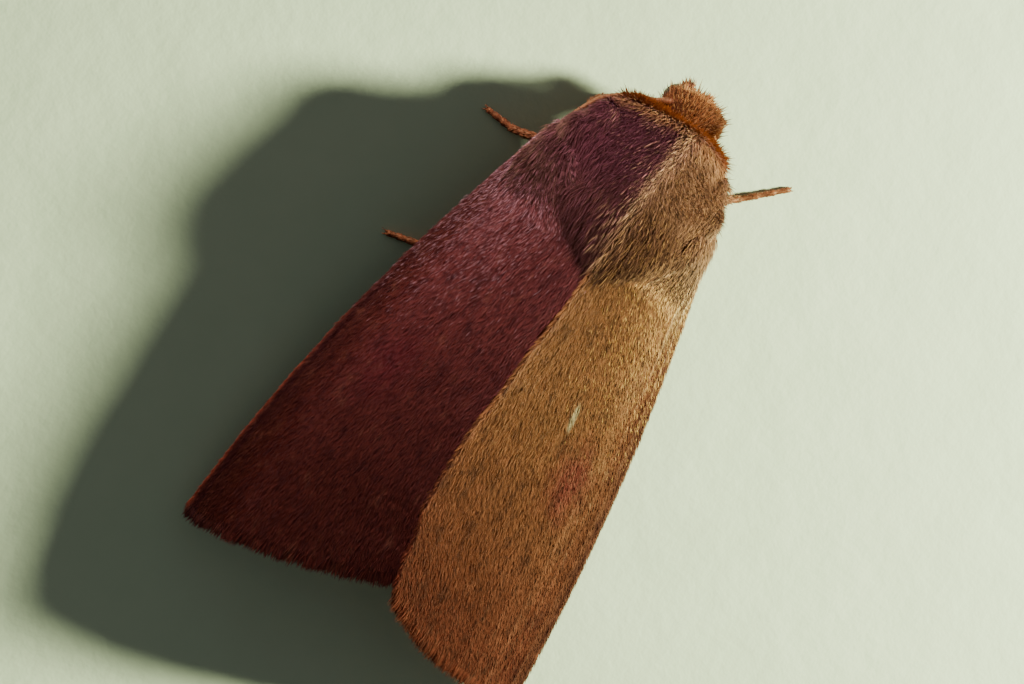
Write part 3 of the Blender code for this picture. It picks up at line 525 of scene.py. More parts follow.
class Shades:
    """Short ways to add and join the nodes of one material or group."""

    def __init__(self, tree):
        self.tree = tree

    def add(self, kind, inputs=(), **settings):
        node = self.tree.nodes.new(kind)
        for key, value in settings.items():
            setattr(node, key, value)
        for key, value in dict(inputs).items():
            self.put(node.inputs[key], value)
        return node

    def put(self, socket, value):
        if isinstance(value, bpy.types.NodeSocket):
            self.tree.links.new(value, socket)
        elif isinstance(value, tuple) and len(value) == 3 and socket.type == "RGBA":
            socket.default_value = (*value, 1.0)
        else:
            socket.default_value = value

    def maths(self, operation, a, b=0.0):
        return self.add("ShaderNodeMath", {0: a, 1: b}, operation=operation).outputs[0]

    def plus(self, a, b):
        return self.maths("ADD", a, b)

    def minus(self, a, b):
        return self.maths("SUBTRACT", a, b)

    def times(self, a, b):
        return self.maths("MULTIPLY", a, b)

    def vector(self, operation, a, b=(0.0, 0.0, 0.0), output=0):
        return self.add("ShaderNodeVectorMath", {0: a, 1: b}, operation=operation).outputs[output]

    def from_spot(self, where, at, size, turn=0.0):
        """How far a place is from a spot's middle, counted in the spot's size. Only x and y count."""
        inputs = {"Vector": self.vector("SUBTRACT", where, (*at, 0.0)), "Angle": turn}
        turned = self.add("ShaderNodeVectorRotate", inputs, rotation_type="Z_AXIS").outputs[0]
        fitted = self.vector("MULTIPLY", turned, (1 / size[0], 1 / size[1], 0.0))
        return self.vector("LENGTH", fitted, output="Value")

    def between(self, value, low, high):
        """0 below low, 1 above high, and smooth between. low may be the larger one."""
        inputs = {0: value, 1: low, 2: high}
        node = self.add("ShaderNodeMapRange", inputs, interpolation_type="SMOOTHSTEP", clamp=True)
        return node.outputs[0]

    def mix(self, share, a, b, blend="MIX"):
        node = self.add("ShaderNodeMix", {0: share, 6: a, 7: b}, data_type="RGBA", blend_type=blend)
        return node.outputs[2]

    def noise(self, where, scale, detail=2.0, rough=0.55):
        inputs = {"Vector": where, "Scale": scale, "Detail": detail, "Roughness": rough}
        return self.add("ShaderNodeTexNoise", inputs).outputs["Fac"]

    def ramp(self, value, stops):
        node = self.add("ShaderNodeValToRGB", {0: value})
        edges = node.color_ramp.elements
        while len(edges) < len(stops):
            edges.new(1.0)
        for edge, (place, colour) in zip(edges, stops):
            edge.position = place
            edge.color = (*colour, 1.0)
        return node.outputs[0]

    def relief(self, principled, height, strength, depth, invert=False):
        """Fine relief on the shader, up to a depth in millimetres."""
        inputs = {"Height": height, "Strength": strength, "Distance": depth * MM}
        bump = self.add("ShaderNodeBump", inputs, invert=invert)
        self.put(principled.inputs["Normal"], bump.outputs[0])

    def stretched(self, where, by):
        return self.add("ShaderNodeMapping", {"Vector": where, "Scale": by}).outputs[0]

    def split(self, where):
        return self.add("ShaderNodeSeparateXYZ", {0: where}).outputs

    def attribute(self, name, output="Fac"):
        return self.add("ShaderNodeAttribute", attribute_name=name).outputs[output]

    def in_mm(self):
        """Object coordinates in millimetres, in the moth's own frame."""
        where = self.add("ShaderNodeTexCoord").outputs["Object"]
        inputs = {"Vector": where, "Scale": (1 / MM,) * 3, "Location": tuple(-SHIFT)}
        return self.add("ShaderNodeMapping", inputs).outputs[0]


def shader(name, roughness, **sockets):
    """A new material: its helper and its Principled shader, with the plain numbers set on it."""
    made = bpy.data.materials.new(name)
    made.use_nodes = True
    principled = made.node_tree.nodes["Principled BSDF"]
    principled.inputs["Roughness"].default_value = roughness
    for key, value in sockets.items():
        socket = principled.inputs[key.replace("_", " ")]
        socket.default_value = (*value, 1.0) if isinstance(value, tuple) else value
    return made, Shades(made.node_tree), principled


def group(name, inputs, outputs):
    """A new node group, its helper, and the sockets that it is given and that it fills."""
    tree = bpy.data.node_groups.new(name, "ShaderNodeTree")
    for label, kind in inputs:
        tree.interface.new_socket(label, in_out="INPUT", socket_type=kind)
    for label, kind in outputs:
        tree.interface.new_socket(label, in_out="OUTPUT", socket_type=kind)
    given, result = tree.nodes.new("NodeGroupInput"), tree.nodes.new("NodeGroupOutput")
    return tree, Shades(tree), given.outputs, result.inputs


# Markings, and light and shade painted into some colours. Colours are linear red, green and blue

WING_SHADES = (
    (0.0, (0.1, 0.03, 0.022)),
    (0.1, (0.17, 0.045, 0.034)),
    (0.24, (0.23, 0.055, 0.042)),
    (0.42, (0.23, 0.05, 0.036)),
    (0.62, (0.18, 0.038, 0.026)),
    (0.85, (0.14, 0.026, 0.015)),
    (1.0, (0.13, 0.023, 0.013)),
)
WING_DARK = (0.04, 0.007, 0.008)
WING_LIGHT = (0.32, 0.12, 0.06)
WING_PURPLE = (0.18, 0.016, 0.028)
WING_COSTA = (0.07, 0.022, 0.01)
WING_LIT_RIM = (0.4, 0.09, 0.04)
WING_LIT_GOLD = (0.31, 0.165, 0.05)
WING_PALE = (0.5, 0.45, 0.26)
# Painted highlight colours of the glinting scales: lilac sheen on the shaded left wing, gold on the lit
# right one
WING_GLINTS = {"left": (0.55, 0.32, 0.3), "right": (0.9, 0.58, 0.16)}
# Places of the pale dash and the purple patch, along and across the wing
DASH_AT, DASH_SIZE, DASH_TURN = (0.468, 0.615), (0.034, 0.02), 0.3
PURPLE_AT, PURPLE_SIZE = (0.575, 0.44), (1 / 7.5, 1 / 4.5)
BODY_HEAD = (0.22, 0.075, 0.022)
BODY_COLLAR = (0.36, 0.165, 0.07)
# The thorax's colour as lit, and as painted shade (wine) for the side that the lamp does not reach
BODY_LIT_THORAX = (0.29, 0.15, 0.082)
BODY_SHADED_WINE = (0.135, 0.037, 0.045)
BODY_REAR = (0.1, 0.041, 0.022)
BODY_BELLY = (0.17, 0.07, 0.03)
BODY_DARK = (0.03, 0.009, 0.007)
# Painted highlight colours of hair tips: golden, and lilac on the shaded left of the thorax
BODY_GLINT = (0.46, 0.25, 0.09)
BODY_SHADED_LILAC = (0.23, 0.08, 0.09)
# Specular tints of the wing scales, as shaded and lit copies of one finish: rose on the left, gold on the
# right
WING_GLOSS = {"left": (1.0, 0.6, 0.54), "right": (1.0, 0.84, 0.34)}
HONEY = (1.0, 0.72, 0.26)
LILAC = (0.8, 0.46, 0.78)
SHEEN = {"Sheen_Weight": 0.06, "Sheen_Roughness": 0.4, "Sheen_Tint": LILAC}
# The shaded left wing's scales are made less glossy than the lit right wing's
SCALE_IOR = {"left": 1.62, "right": 1.75}
# Dark and light patches
EYE_TONES = ((0.012, 0.008, 0.005), (0.04, 0.022, 0.012))
ANTENNA_TONES = ((0.1, 0.032, 0.013), (0.26, 0.1, 0.04))
TONGUE_TONES = ((0.09, 0.032, 0.014), (0.22, 0.085, 0.035))
LEG_TONES = ((0.07, 0.02, 0.009), (0.21, 0.07, 0.026))
LEG_HAIR_TONES = ((0.08, 0.023, 0.01), (0.25, 0.085, 0.03))
FLOOR_TONES = ((0.61, 0.79, 0.51), (0.71, 0.89, 0.6))


def wing_marks():
    """The fore wing's colours from the place along and across it, with mottling in space. Painted light: a
    golden tone on the lit right wing, painted shade in the costal fold, and a painted rim of light on the
    left costa. Matt says how dull the scales are, and Glints which share of them takes the painted
    highlight."""
    tree, s, given, result = group(
        "wing marks", [("Place", "NodeSocketVector"), ("Where", "NodeSocketVector")],
        [("Color", "NodeSocketColor"), ("Matt", "NodeSocketFloat"), ("Glints", "NodeSocketFloat")])
    u, v, right = s.split(given["Place"])
    where = given["Where"]
    cloud = s.noise(where, 0.55, 3.0)
    shifted = s.plus(u, s.times(s.minus(cloud, 0.5), 0.25))
    colour = s.ramp(shifted, WING_SHADES)
    # Painted light: a golden tone on the lamp-lit right wing only, strongest at the front
    lit_gilt = s.times(s.times(right, 0.56), s.between(u, 1.0, 0.45))
    lit_gilt = s.times(lit_gilt, s.between(v, -0.5, 0.4))
    colour = s.mix(lit_gilt, colour, WING_LIT_GOLD)
    band = s.times(s.between(v, 0.32, 0.05), s.between(u, 0.02, 0.2))
    colour = s.mix(s.times(band, 0.7), colour, WING_COSTA)
    # Painted shade: a dark line just inside the costa, where the wing bends down
    fold_shade = s.times(s.between(s.maths("ABSOLUTE", s.minus(v, 0.05)), 0.022, 0.006), s.between(u, 0.3, 0.5))
    colour = s.mix(s.times(fold_shade, 0.6), colour, WING_DARK)
    far = s.from_spot(given["Place"], PURPLE_AT, PURPLE_SIZE)
    purple = s.between(s.plus(far, s.times(s.noise(where, 1.6, 3.0), 0.9)), 1.45, 0.5)
    purple = s.times(purple, s.plus(s.times(right, 0.25), 0.45))
    colour = s.mix(purple, colour, WING_PURPLE)
    mottle = s.noise(s.stretched(where, (1.0, 0.55, 1.0)), 2.6, 4.0, 0.6)
    colour = s.mix(s.times(s.between(mottle, 0.5, 0.3), 0.5), colour, WING_DARK)
    colour = s.mix(s.times(s.between(mottle, 0.55, 0.75), 0.45), colour, WING_LIGHT)
    off = s.from_spot(given["Place"], DASH_AT, DASH_SIZE, DASH_TURN)
    off = s.plus(off, s.times(s.noise(where, 6.0, 2.0), 0.5))
    dashed = s.times(s.between(off, 1.35, 0.85), s.times(right, 0.9))
    colour = s.mix(dashed, colour, WING_PALE)
    # Painted light: an orange-red rim on the left costa near the apex, where its edge scales catch the
    # light
    lit_rim = s.times(s.between(v, 0.03, 0.005), s.between(u, 0.45, 0.7))
    lit_rim = s.times(lit_rim, s.minus(0.8, s.times(right, 0.8)))
    colour = s.mix(lit_rim, colour, WING_LIT_RIM)
    s.put(result["Color"], colour)
    s.put(result["Matt"], s.plus(mottle, s.between(u, 0.4, 0.75)))
    # Painted highlights: the share of scales that take the glint colour, most at the front by the costa
    golden = s.times(s.between(u, 0.55, 0.12), s.between(v, 0.9, 0.4))
    s.put(result["Glints"], s.times(golden, 0.45))
    return tree


def body_marks():
    """The body's colours by place: orange head and collar, a lit brown thorax right of its crest and a
    painted shade of wine left of it, and brown rear and belly. Glint is the highlight colour painted on
    hair tips."""
    tree, s, given, result = group(
        "body marks", [("Where", "NodeSocketVector")],
        [("Color", "NodeSocketColor"), ("Glint", "NodeSocketColor")])
    where = given["Where"]
    x, y, z = s.split(where)
    cloud = s.noise(where, 0.9, 3.0)
    # The crest line: left of it the thorax is out of the lamp's light and takes the wine colour as painted
    # shade
    crest = s.maths("MINIMUM", s.plus(s.times(y, 0.13), 0.98), 0.25)
    left = s.between(s.minus(x, crest), -0.2, 0.15)
    thorax = s.mix(left, BODY_LIT_THORAX, BODY_SHADED_WINE)
    along = s.plus(y, s.times(s.minus(cloud, 0.5), 1.2))
    front = s.mix(s.between(y, -8.35, -8.1), BODY_HEAD, BODY_COLLAR)
    colour = s.mix(s.between(along, -7.95, -7.45), front, thorax)
    # The rear takes part of the painted shade on its left side
    rear = s.mix(s.times(left, 0.6), BODY_REAR, BODY_SHADED_WINE)
    colour = s.mix(s.between(along, -6.0, -4.7), colour, rear)
    flank = s.between(s.maths("ABSOLUTE", x), 2.1, 2.6)
    colour = s.mix(s.times(flank, 0.5), colour, BODY_DARK)
    colour = s.mix(s.between(z, 2.2, 1.2), colour, BODY_BELLY)
    mottle = s.noise(where, 3.0, 4.0, 0.6)
    colour = s.mix(s.times(s.between(mottle, 0.5, 0.28), 0.6), colour, BODY_DARK)
    s.put(result["Color"], colour)
    # Painted highlight colour: lilac behind the collar on the shaded left, golden elsewhere
    behind = s.times(left, s.between(y, -7.9, -7.3))
    s.put(result["Glint"], s.mix(behind, BODY_GLINT, BODY_SHADED_LILAC))
    return tree


def tuft_tints():
    """How one tuft differs from the next, and its root from its tip: roots darkened as painted shade
    between the tufts, and the tips of some given the glint colour as a painted highlight.
    """
    tree, s, given, result = group(
        "tuft tints",
        [("Color", "NodeSocketColor"), ("Glint", "NodeSocketColor"), ("Deep", "NodeSocketColor"),
         ("Tint", "NodeSocketFloat"), ("Reach", "NodeSocketFloat"), ("Glints", "NodeSocketFloat"),
         ("Root Shade", "NodeSocketFloat")],
        [("Color", "NodeSocketColor")])
    tint, reach = given["Tint"], given["Reach"]
    # Painted shade: each tuft darker towards its root, where the tufts shade each other
    root_shade = s.times(s.between(reach, 0.45, 0.0), given["Root Shade"])
    colour = s.mix(root_shade, given["Color"], given["Deep"])
    dark = s.times(s.between(tint, 0.45, 0.0), 0.75)
    colour = s.mix(dark, colour, given["Deep"])
    # Painted highlight: the tips of the tufts with the highest tints take the glint colour
    edge = s.minus(1.0, given["Glints"])
    light = s.times(s.between(tint, edge, 1.0), s.between(reach, 0.1, 0.8))
    colour = s.mix(s.times(light, 0.9), colour, given["Glint"])
    s.put(result["Color"], colour)
    return tree


def placed_group(s, tree, inputs):
    node = s.add("ShaderNodeGroup", node_tree=tree)
    for key, value in inputs.items():
        s.put(node.inputs[key], value)
    return node.outputs


def wing_finish(name, marks, tints, roughness, glint, **sockets):
    """A finish of the fore wing. tints is left out on the bare membrane."""
    made, s, principled = shader(name, roughness, **sockets)
    where = s.in_mm()
    painted = placed_group(s, marks, {"Place": s.attribute("place", "Vector"), "Where": where})
    colour = painted["Color"]
    if tints:
        colour = placed_group(s, tints, {
            "Color": colour, "Glint": glint, "Deep": WING_DARK, "Tint": s.attribute("tint"),
            "Reach": s.attribute("reach"), "Glints": painted["Glints"], "Root Shade": 0.6})["Color"]
    else:
        s.relief(principled, s.noise(s.stretched(where, (9.0, 3.0, 9.0)), 1.6, 3.0), 0.5, 0.03)
    s.put(principled.inputs["Base Color"], colour)
    s.put(principled.inputs["Roughness"], s.plus(s.times(painted["Matt"], 0.16), roughness - 0.1))
    return made


def body_finish(name, marks, tints, roughness, glints, **sockets):
    """A finish of the body. tints is left out on the bare skin. A hair has its root's colour all along."""
    made, s, principled = shader(name, roughness, **sockets)
    where = s.attribute("place", "Vector") if tints else s.in_mm()
    painted = placed_group(s, marks, {"Where": where})
    colour = painted["Color"]
    if tints:
        colour = placed_group(s, tints, {
            "Color": colour, "Glint": painted["Glint"], "Deep": BODY_DARK, "Tint": s.attribute("tint"),
            "Reach": s.attribute("reach"), "Glints": glints, "Root Shade": 0.4})["Color"]
    else:
        s.relief(principled, s.noise(where, 9.0, 3.0), 0.6, 0.04)
    s.put(principled.inputs["Base Color"], colour)
    return made


def eye_finish():
    made, s, principled = shader("eye", 0.3, Specular_IOR_Level=0.14)
    where = s.in_mm()
    cells = s.add("ShaderNodeTexVoronoi", {"Vector": where, "Scale": 24.0})
    glow = s.noise(where, 2.0, 2.0)
    s.put(principled.inputs["Base Color"], s.mix(glow, *EYE_TONES))
    s.relief(principled, cells.outputs["Distance"], 0.5, 0.02, invert=True)
    return made


def horn_finish(name, dark, light):
    """The scaled horn of legs, antennae and tongue, in fine dark and light patches."""
    made, s, principled = shader(name, 0.5, Specular_IOR_Level=0.35, Specular_Tint=HONEY)
    where = s.in_mm()
    grain = s.noise(where, 8.0, 4.0, 0.65)
    s.put(principled.inputs["Base Color"], s.mix(s.between(grain, 0.35, 0.7), dark, light))
    s.relief(principled, grain, 0.5, 0.03)
    return made


def floor_finish():
    made, s, principled = shader("pale floor", 0.8)
    where = s.in_mm()
    grain = s.noise(where, 0.35, 5.0, 0.6)
    s.put(principled.inputs["Base Color"], s.mix(grain, *FLOOR_TONES))
    s.relief(principled, grain, 0.25, 0.3)
    return made


# Camera, light and floor

def camera():
    right = CAMERA_RIGHT.normalized()
    back = right.cross(CAMERA_UP).normalized()
    up = back.cross(right)
    data = bpy.data.cameras.new("camera")
    data.lens, data.sensor_width, data.clip_start = CAMERA_LENS, SENSOR, MM
    obj = bpy.data.objects.new("camera", data)
    turn = Matrix((right, up, back)).transposed().to_4x4()
    obj.matrix_world = Matrix.Translation((CAMERA_AT + Vector(SHIFT)) * MM) @ turn
    bpy.context.scene.collection.objects.link(obj)
    bpy.context.scene.camera = obj


LIGHTS = {
    # name: direction towards it, distance, size, power in milliwatts, colour
    "key": ((-0.8, -0.48, 0.387), 115, 17, 660.0, (1.0, 0.98, 0.74)),
    "fill": ((0.8, -0.5, 0.3), 30, 9, 6.4, (1.0, 0.72, 0.74)),
    "glow": ((0.62, -0.62, 0.45), 18, 5, 3.0, (0.86, 0.77, 1.0)),
}
LIT_POINT = Vector((0, -2, 2))
WORLD_LIGHT, WORLD_COLOUR = 0.1, (0.98, 0.95, 1.0)
FLOOR_SIZE = 1600
MOTH_ONLY = ("fill", "glow")


def lights(ground):
    """The soft lamps. Those in MOTH_ONLY leave the floor alone, so that the moth's shadow stays deep."""
    spared = bpy.data.collections.new("spared floor")
    spared.objects.link(ground)
    spared.collection_objects[0].light_linking.link_state = "EXCLUDE"
    for name, (towards, distance, size, power, colour) in LIGHTS.items():
        data = bpy.data.lights.new(name, "AREA")
        data.shape, data.size, data.energy, data.color = "DISK", size * MM, power * MM, colour
        obj = bpy.data.objects.new(name, data)
        towards = Vector(towards).normalized()
        obj.location = (towards * distance + LIT_POINT) * MM
        obj.rotation_euler = towards.to_track_quat("Z", "Y").to_euler()
        if name in MOTH_ONLY:
            obj.light_linking.receiver_collection = spared
        bpy.context.scene.collection.objects.link(obj)
    world = bpy.data.worlds.new("studio")
    world.use_nodes = True
    background = world.node_tree.nodes["Background"]
    background.inputs["Color"].default_value = (*WORLD_COLOUR, 1.0)
    background.inputs["Strength"].default_value = WORLD_LIGHT
    bpy.context.scene.world = world


def floor():
    fresh()
    bpy.ops.mesh.primitive_plane_add(size=FLOOR_SIZE * MM)
    obj = named(bpy.context.object, "floor")
    obj.data.materials.append(floor_finish())
    return obj


# Wings

def wing_sheet(name, surface, side, grid, thick):
    """A closed thin sheet on a wing surface. Its UV map keeps u and v."""
    fresh()
    bpy.ops.mesh.primitive_grid_add(x_subdivisions=grid[0], y_subdivisions=grid[1], size=1)
    obj = named(bpy.context.object, name)
    place = corners_of(obj)[:, :2] + 0.5
    move_corners(obj, surface(place[:, 0], place[:, 1]))
    write_attribute(obj.data, "place", "FLOAT_VECTOR", wing_place(place[:, 0], place[:, 1], side))
    if obj.data.polygons[len(obj.data.polygons) // 2].normal.z < 0:
        obj.data.flip_normals()
    apply_modifier(obj, "thickness", "SOLIDIFY", thickness=thick, offset=-1.0)
    obj.data.shade_smooth()
    return obj


def wing_place(u, v, side):
    """What the wing's markings read: the place along and across, and 1 on the right wing."""
    return np.column_stack([u, v, 0 * u + (side == SIDES["right"])])


def wing_places(surface, count):
    """Even places over a wing: u and v, denser where the wing is wider."""
    steps = np.linspace(0, 1, 101)
    wide = np.linalg.norm(surface(steps, 0 * steps) - surface(steps, 0 * steps + 1), axis=1)
    total = np.concatenate([[0], np.cumsum((wide[1:] + wide[:-1]) / 2)])
    k = np.arange(count) + rng.uniform(0.1, 0.9, count)
    u = np.interp(k / count, total / total[-1], steps)
    v = (np.arange(count) * GOLDEN + rng.uniform(-0.002, 0.002, count)) % 1
    return u, v


def wing_coat(surface, side, count, length, width, lift, under=0.0):
    """Scales over a wing that lie from its root to its outer margin. under, the membrane's thickness, puts
    them on its lower side."""
    u, v = wing_places(surface, count)
    out, along = facing_up(surface, u, v, side)
    root = surface(u, v)
    if under:
        root, out = root - out * under, -out
    along = swayed(along, out, 0.07 * wander(root, 0.5, 1.0) + rng.normal(0, 0.12, count))
    size = rng.uniform(0.7, 1.3, count)
    rise = lift * rng.uniform(0.4, 1.6, count) * (1 + 0.12 * wander(root, 0.35, 3.0))
    width = width * rng.uniform(0.8, 1.2, count)
    place = wing_place(u, v, side)
    return coat_of(root, along, out, length * size, width, rise, patch_at(u, v), place, sunk=0.012)


def fringe_coat(surface, side, count):
    """Long scales that stand out past the outer margin, in layers through the membrane's edge."""
    v = (np.arange(count) + rng.uniform(0, 1, count)) / count
    layer = rng.uniform(0, 1, count)
    u = 1 - 0.02 * layer
    out, along = facing_up(surface, u, v, side)
    root = surface(u, v) - out * (MEMBRANE_THICK * layer)[:, None]
    along = swayed(along, out, 0.22 * wander(root, 0.3, 4.0) + rng.normal(0, 0.13, count))
    ends = np.minimum(v, 1 - v) / 0.03
    length = FRINGE * rng.uniform(0.7, 1.12, count) * (0.75 + 0.25 * smooth(ends))
    width, lift = rng.uniform(0.035, 0.06, count), rng.normal(0.0, 0.03, count)
    place = wing_place(0 * u + 1, v, side)
    return coat_of(root, along, out, length, width, lift, patch_at(u, v), place, sunk=0.0)


def margin_coat(surface, side, count):
    """Hairs along the upper wing's inner margin that lie over the seam."""
    u = (np.arange(count) + rng.uniform(0, 1, count)) / count
    v = 1 - 0.03 * rng.uniform(0, 1, count) ** 2
    out, along = facing_up(surface, u, v, side)
    across = surface(u, v) - surface(u, v - 0.02)
    along = unit(along + unit(across) * rng.uniform(0.05, 0.5, count)[:, None] - out * 0.1)
    length, width = rng.uniform(0.2, 0.34, count), rng.uniform(0.035, 0.06, count)
    lift = rng.uniform(-0.03, 0.06, count)
    return coat_of(surface(u, v), along, out, length, width, lift, patch_at(u, v), wing_place(u, v, side))


def root_coat(surface, side, count):
    """Longer hairs where the wing leaves the body."""
    u = 0.16 * rng.uniform(0, 1, count) ** 1.3
    v = rng.uniform(0.1, 1, count)
    out, along = facing_up(surface, u, v, side)
    near = 1 - u / 0.16
    root = surface(u, v)
    along = swayed(along, out, 0.3 * wander(root, 0.4, 6.0) + rng.normal(0, 0.16, count))
    length = (0.3 + 0.4 * near) * rng.uniform(0.7, 1.2, count)
    width = rng.uniform(0.03, 0.045, count)
    lift = (0.08 + 0.12 * near) * rng.uniform(0.4, 1.4, count)
    return coat_of(root, along, out, length, width, lift, patch_at(u, v), root)


def fore_wings(marks, tints, wool):
    slot = "forewing_scales"
    skin = wing_finish("fore_wing_membrane", marks, None, 0.6, None)
    for word, side in SIDES.items():
        # Each side has its own copies of the scale finishes, with the gloss and glint colours of its light
        look, gloss = (marks, tints, 0.5, WING_GLINTS[word]), WING_GLOSS[word]
        scales = wing_finish(f"fore_wing_scales_{word}", *look, IOR=SCALE_IOR[word], Specular_IOR_Level=0.7,
                             Specular_Tint=gloss, **SHEEN)
        rear = wing_finish(f"fore_wing_rear_scales_{word}", *look, Specular_IOR_Level=0.55,
                           Specular_Tint=gloss)
        dull = wing_finish(f"fore_wing_costal_scales_{word}", *look, IOR=1.4, Specular_IOR_Level=0.3,
                           Specular_Tint=gloss)
        surface = fore_top(side)
        wing = wing_sheet("wing_" + word, surface, side, WING_GRID, MEMBRANE_THICK)
        settled(wing, skin, slot, "forewing_" + word)
        coat = wing_coat(surface, side, *WING_SCALES)
        u, v, _ = coat["place"].T
        costal = v + rng.normal(0, 0.04, len(v)) < 0.24 * smooth(u / 0.4)
        front = u + rng.normal(0, 0.07, len(u)) < 0.52
        for zone, chosen, finish in (
                ("front", front & ~costal, scales),
                ("rear", ~front & ~costal, rear),
                ("costal", costal, dull)):
            tufts(f"wing_{word}_scales_{zone}", part_of(coat, chosen), SCALE, finish, slot)
        below = wing_coat(surface, side, *UNDER_SCALES, MEMBRANE_THICK)
        tufts(f"wing_{word}_scales_below", below, SCALE, dull, slot)
        tufts(f"wing_{word}_fringe", fringe_coat(surface, side, FRINGE_HAIRS), HAIR, rear, slot)
        tufts(f"wing_{word}_root_hairs", root_coat(surface, side, ROOT_HAIRS), HAIR, wool, slot)
        if side == SIDES["right"]:
            tufts("seam_hairs", margin_coat(surface, side, SEAM_HAIRS), HAIR, dull, slot)


def hind_wings(marks, tints):
    skin = body_finish("hind_wing_membrane", marks, None, 0.6, 0.0)
    scales = body_finish("hind_wing_scales", marks, tints, 0.5, 0.2)
    for word, side in SIDES.items():
        surface = hind_top(side)
        wing = wing_sheet("hind_wing_" + word, surface, side, HIND_GRID, MEMBRANE_THICK)
        settled(wing, skin, "hindwing_scales", "hindwing_" + word)
        below = wing_coat(surface, side, *HIND_SCALES, MEMBRANE_THICK)
        below["place"] = below["root"]
        tufts(f"hind_wing_{word}_scales", below, SCALE, scales, "hindwing_scales")


# Body

def pad(side, at, radii, lean=0.0):
    """An egg-shaped pad on one side of the body, leaning inwards."""
    fresh()
    bpy.ops.mesh.primitive_uv_sphere_add(segments=32, ring_count=20, radius=1)
    obj = bpy.context.object
    turn = np.array(Matrix.Rotation(-side * lean, 3, "Y"))
    move_corners(obj, (corners_of(obj) * radii) @ turn.T + at * (side, 1, 1))
    return obj


def palp(side):
    route = eased_route([(HEAD_ASIDE + side * x, y, z) for x, y, z in PALP_PATH], 6)
    radii = np.interp(np.linspace(0, 1, len(route)), np.linspace(0, 1, len(PALP_RADII)), PALP_RADII)
    return tube("palp", route, radii, 4)


def body_skin():
    """One closed skin over head, palps, collar, thorax, scale plates and abdomen."""
    pieces = [lump("trunk", TRUNK_SECTIONS), lump("head", HEAD_SECTIONS, HEAD_ASIDE)]
    for side in SIDES.values():
        pieces.append(palp(side))
        pieces.append(pad(side, TEGULA_AT, TEGULA_RADII, TEGULA_LEAN))
        pieces.append(pad(side, SHOULDER_AT, SHOULDER_RADII))
    skin = joined(pieces, "body_skin")
    apply_modifier(skin, "one skin", "REMESH", mode="VOXEL", voxel_size=SKIN_VOXEL, adaptivity=0.0)
    apply_modifier(skin, "soften", "SMOOTH", factor=0.5, iterations=9)
    skin.data.shade_smooth()
    return skin


def even_places(obj, count, wanted=None):
    """Even places over a mesh in millimetres, and its normals there. wanted says how dense they are."""
    mesh = obj.data
    mesh.calc_loop_triangles()
    corners = np.empty(len(mesh.loop_triangles) * 3, np.int32)
    mesh.loop_triangles.foreach_get("vertices", corners)
    corners = corners.reshape(-1, 3)
    points = corners_of(obj)
    normals = np.empty(len(mesh.vertices) * 3, np.float32)
    mesh.vertex_normals.foreach_get("vector", normals)
    normals = normals.reshape(-1, 3)
    a, b, c = (points[corners[:, k]] for k in range(3))
    area = np.linalg.norm(np.cross(b - a, c - a), axis=1)
    if wanted:
        area = area * wanted((a + b + c) / 3)
    total = np.cumsum(area) / area.sum()
    pick = np.minimum(np.searchsorted(total, (np.arange(count) + 0.5) / count), len(area) - 1)
    s, t = rng.uniform(0, 1, count), rng.uniform(0, 1, count)
    over = s + t > 1
    s, t = np.where(over, 1 - s, s)[:, None], np.where(over, 1 - t, t)[:, None]
    chosen = corners[pick]
    place = a[pick] * (1 - s - t) + b[pick] * s + c[pick] * t
    normal = normals[chosen[:, 0]] * (1 - s - t) + normals[chosen[:, 1]] * s + normals[chosen[:, 2]] * t
    return place, unit(normal.astype(float))


def wing_trees():
    trees = []
    for name in ("wing_left", "wing_right"):
        obj = bpy.data.objects[name]
        corners = [Vector((v.co / MM)) - Vector(SHIFT) for v in obj.data.vertices]
        trees.append(BVHTree.FromPolygons(corners, [tuple(face.vertices) for face in obj.data.polygons]))
    return trees


def room_above(points, normals, reach):
    """How far each point is from the fore wings along its normal, up to reach."""
    trees = wing_trees()
    room = np.full(len(points), reach)
    for k in np.nonzero(points[:, 1] > HINGE[1] - 1.2)[0]:
        start, way = Vector(points[k]), Vector(normals[k])
        for tree in trees:
            hit = tree.ray_cast(start, way, reach)
            if hit[0] is not None:
                room[k] = min(room[k], hit[3])
    return room


def shares(root, out):
    """How much a place belongs to the head, to the collar's rising front, to the upper rear of the thorax,
    and to the short standing hair between them, right of the crest."""
    x, y, z = root.T
    head = smooth((NECK - y) / 0.2)
    front = smooth((-0.6 - out[:, 1]) / 0.35) * smooth((-6.9 - y) / 0.5)
    rear = smooth((y + 5.6) / 1.5) * smooth((-2.6 - y) / 0.2) * smooth((z - 2.4) / 1.0)
    short = smooth((y + 7.5) / 0.7) * smooth((-5.0 - y) / 0.9) * smooth((z - 2.6) / 0.6)
    short = short * smooth((0.19 * y + 1.0 - x) / 0.5)
    return head, front, rear, short


def hair_way(root, out):
    """The lie of the hair: fanned forward on the head, up and over the collar, combed back behind, and
    standing a little where it is short."""
    x, y, z = root.T
    head, front, rear, short = (share[:, None] for share in shares(root, out))
    fan = unit(root - np.array((HEAD_ASIDE, -8.1, 2.3)))
    combed = np.stack([0.12 - 0.12 * rear[:, 0] * x, 1.0 + 0 * x, front[:, 0] - 0.1], 1)
    stand = 0.3 * front * smooth((3.95 - z[:, None]) / 0.4) + 0.35 * short
    back = flattened(combed, out, 0.1) * (1 - stand) + out * stand
    fan = flattened(fan, out, 0.25 - 0.2 * smooth((PALPS_FROM - y[:, None]) / 0.15))
    return unit(fan * head + back * (1 - head))


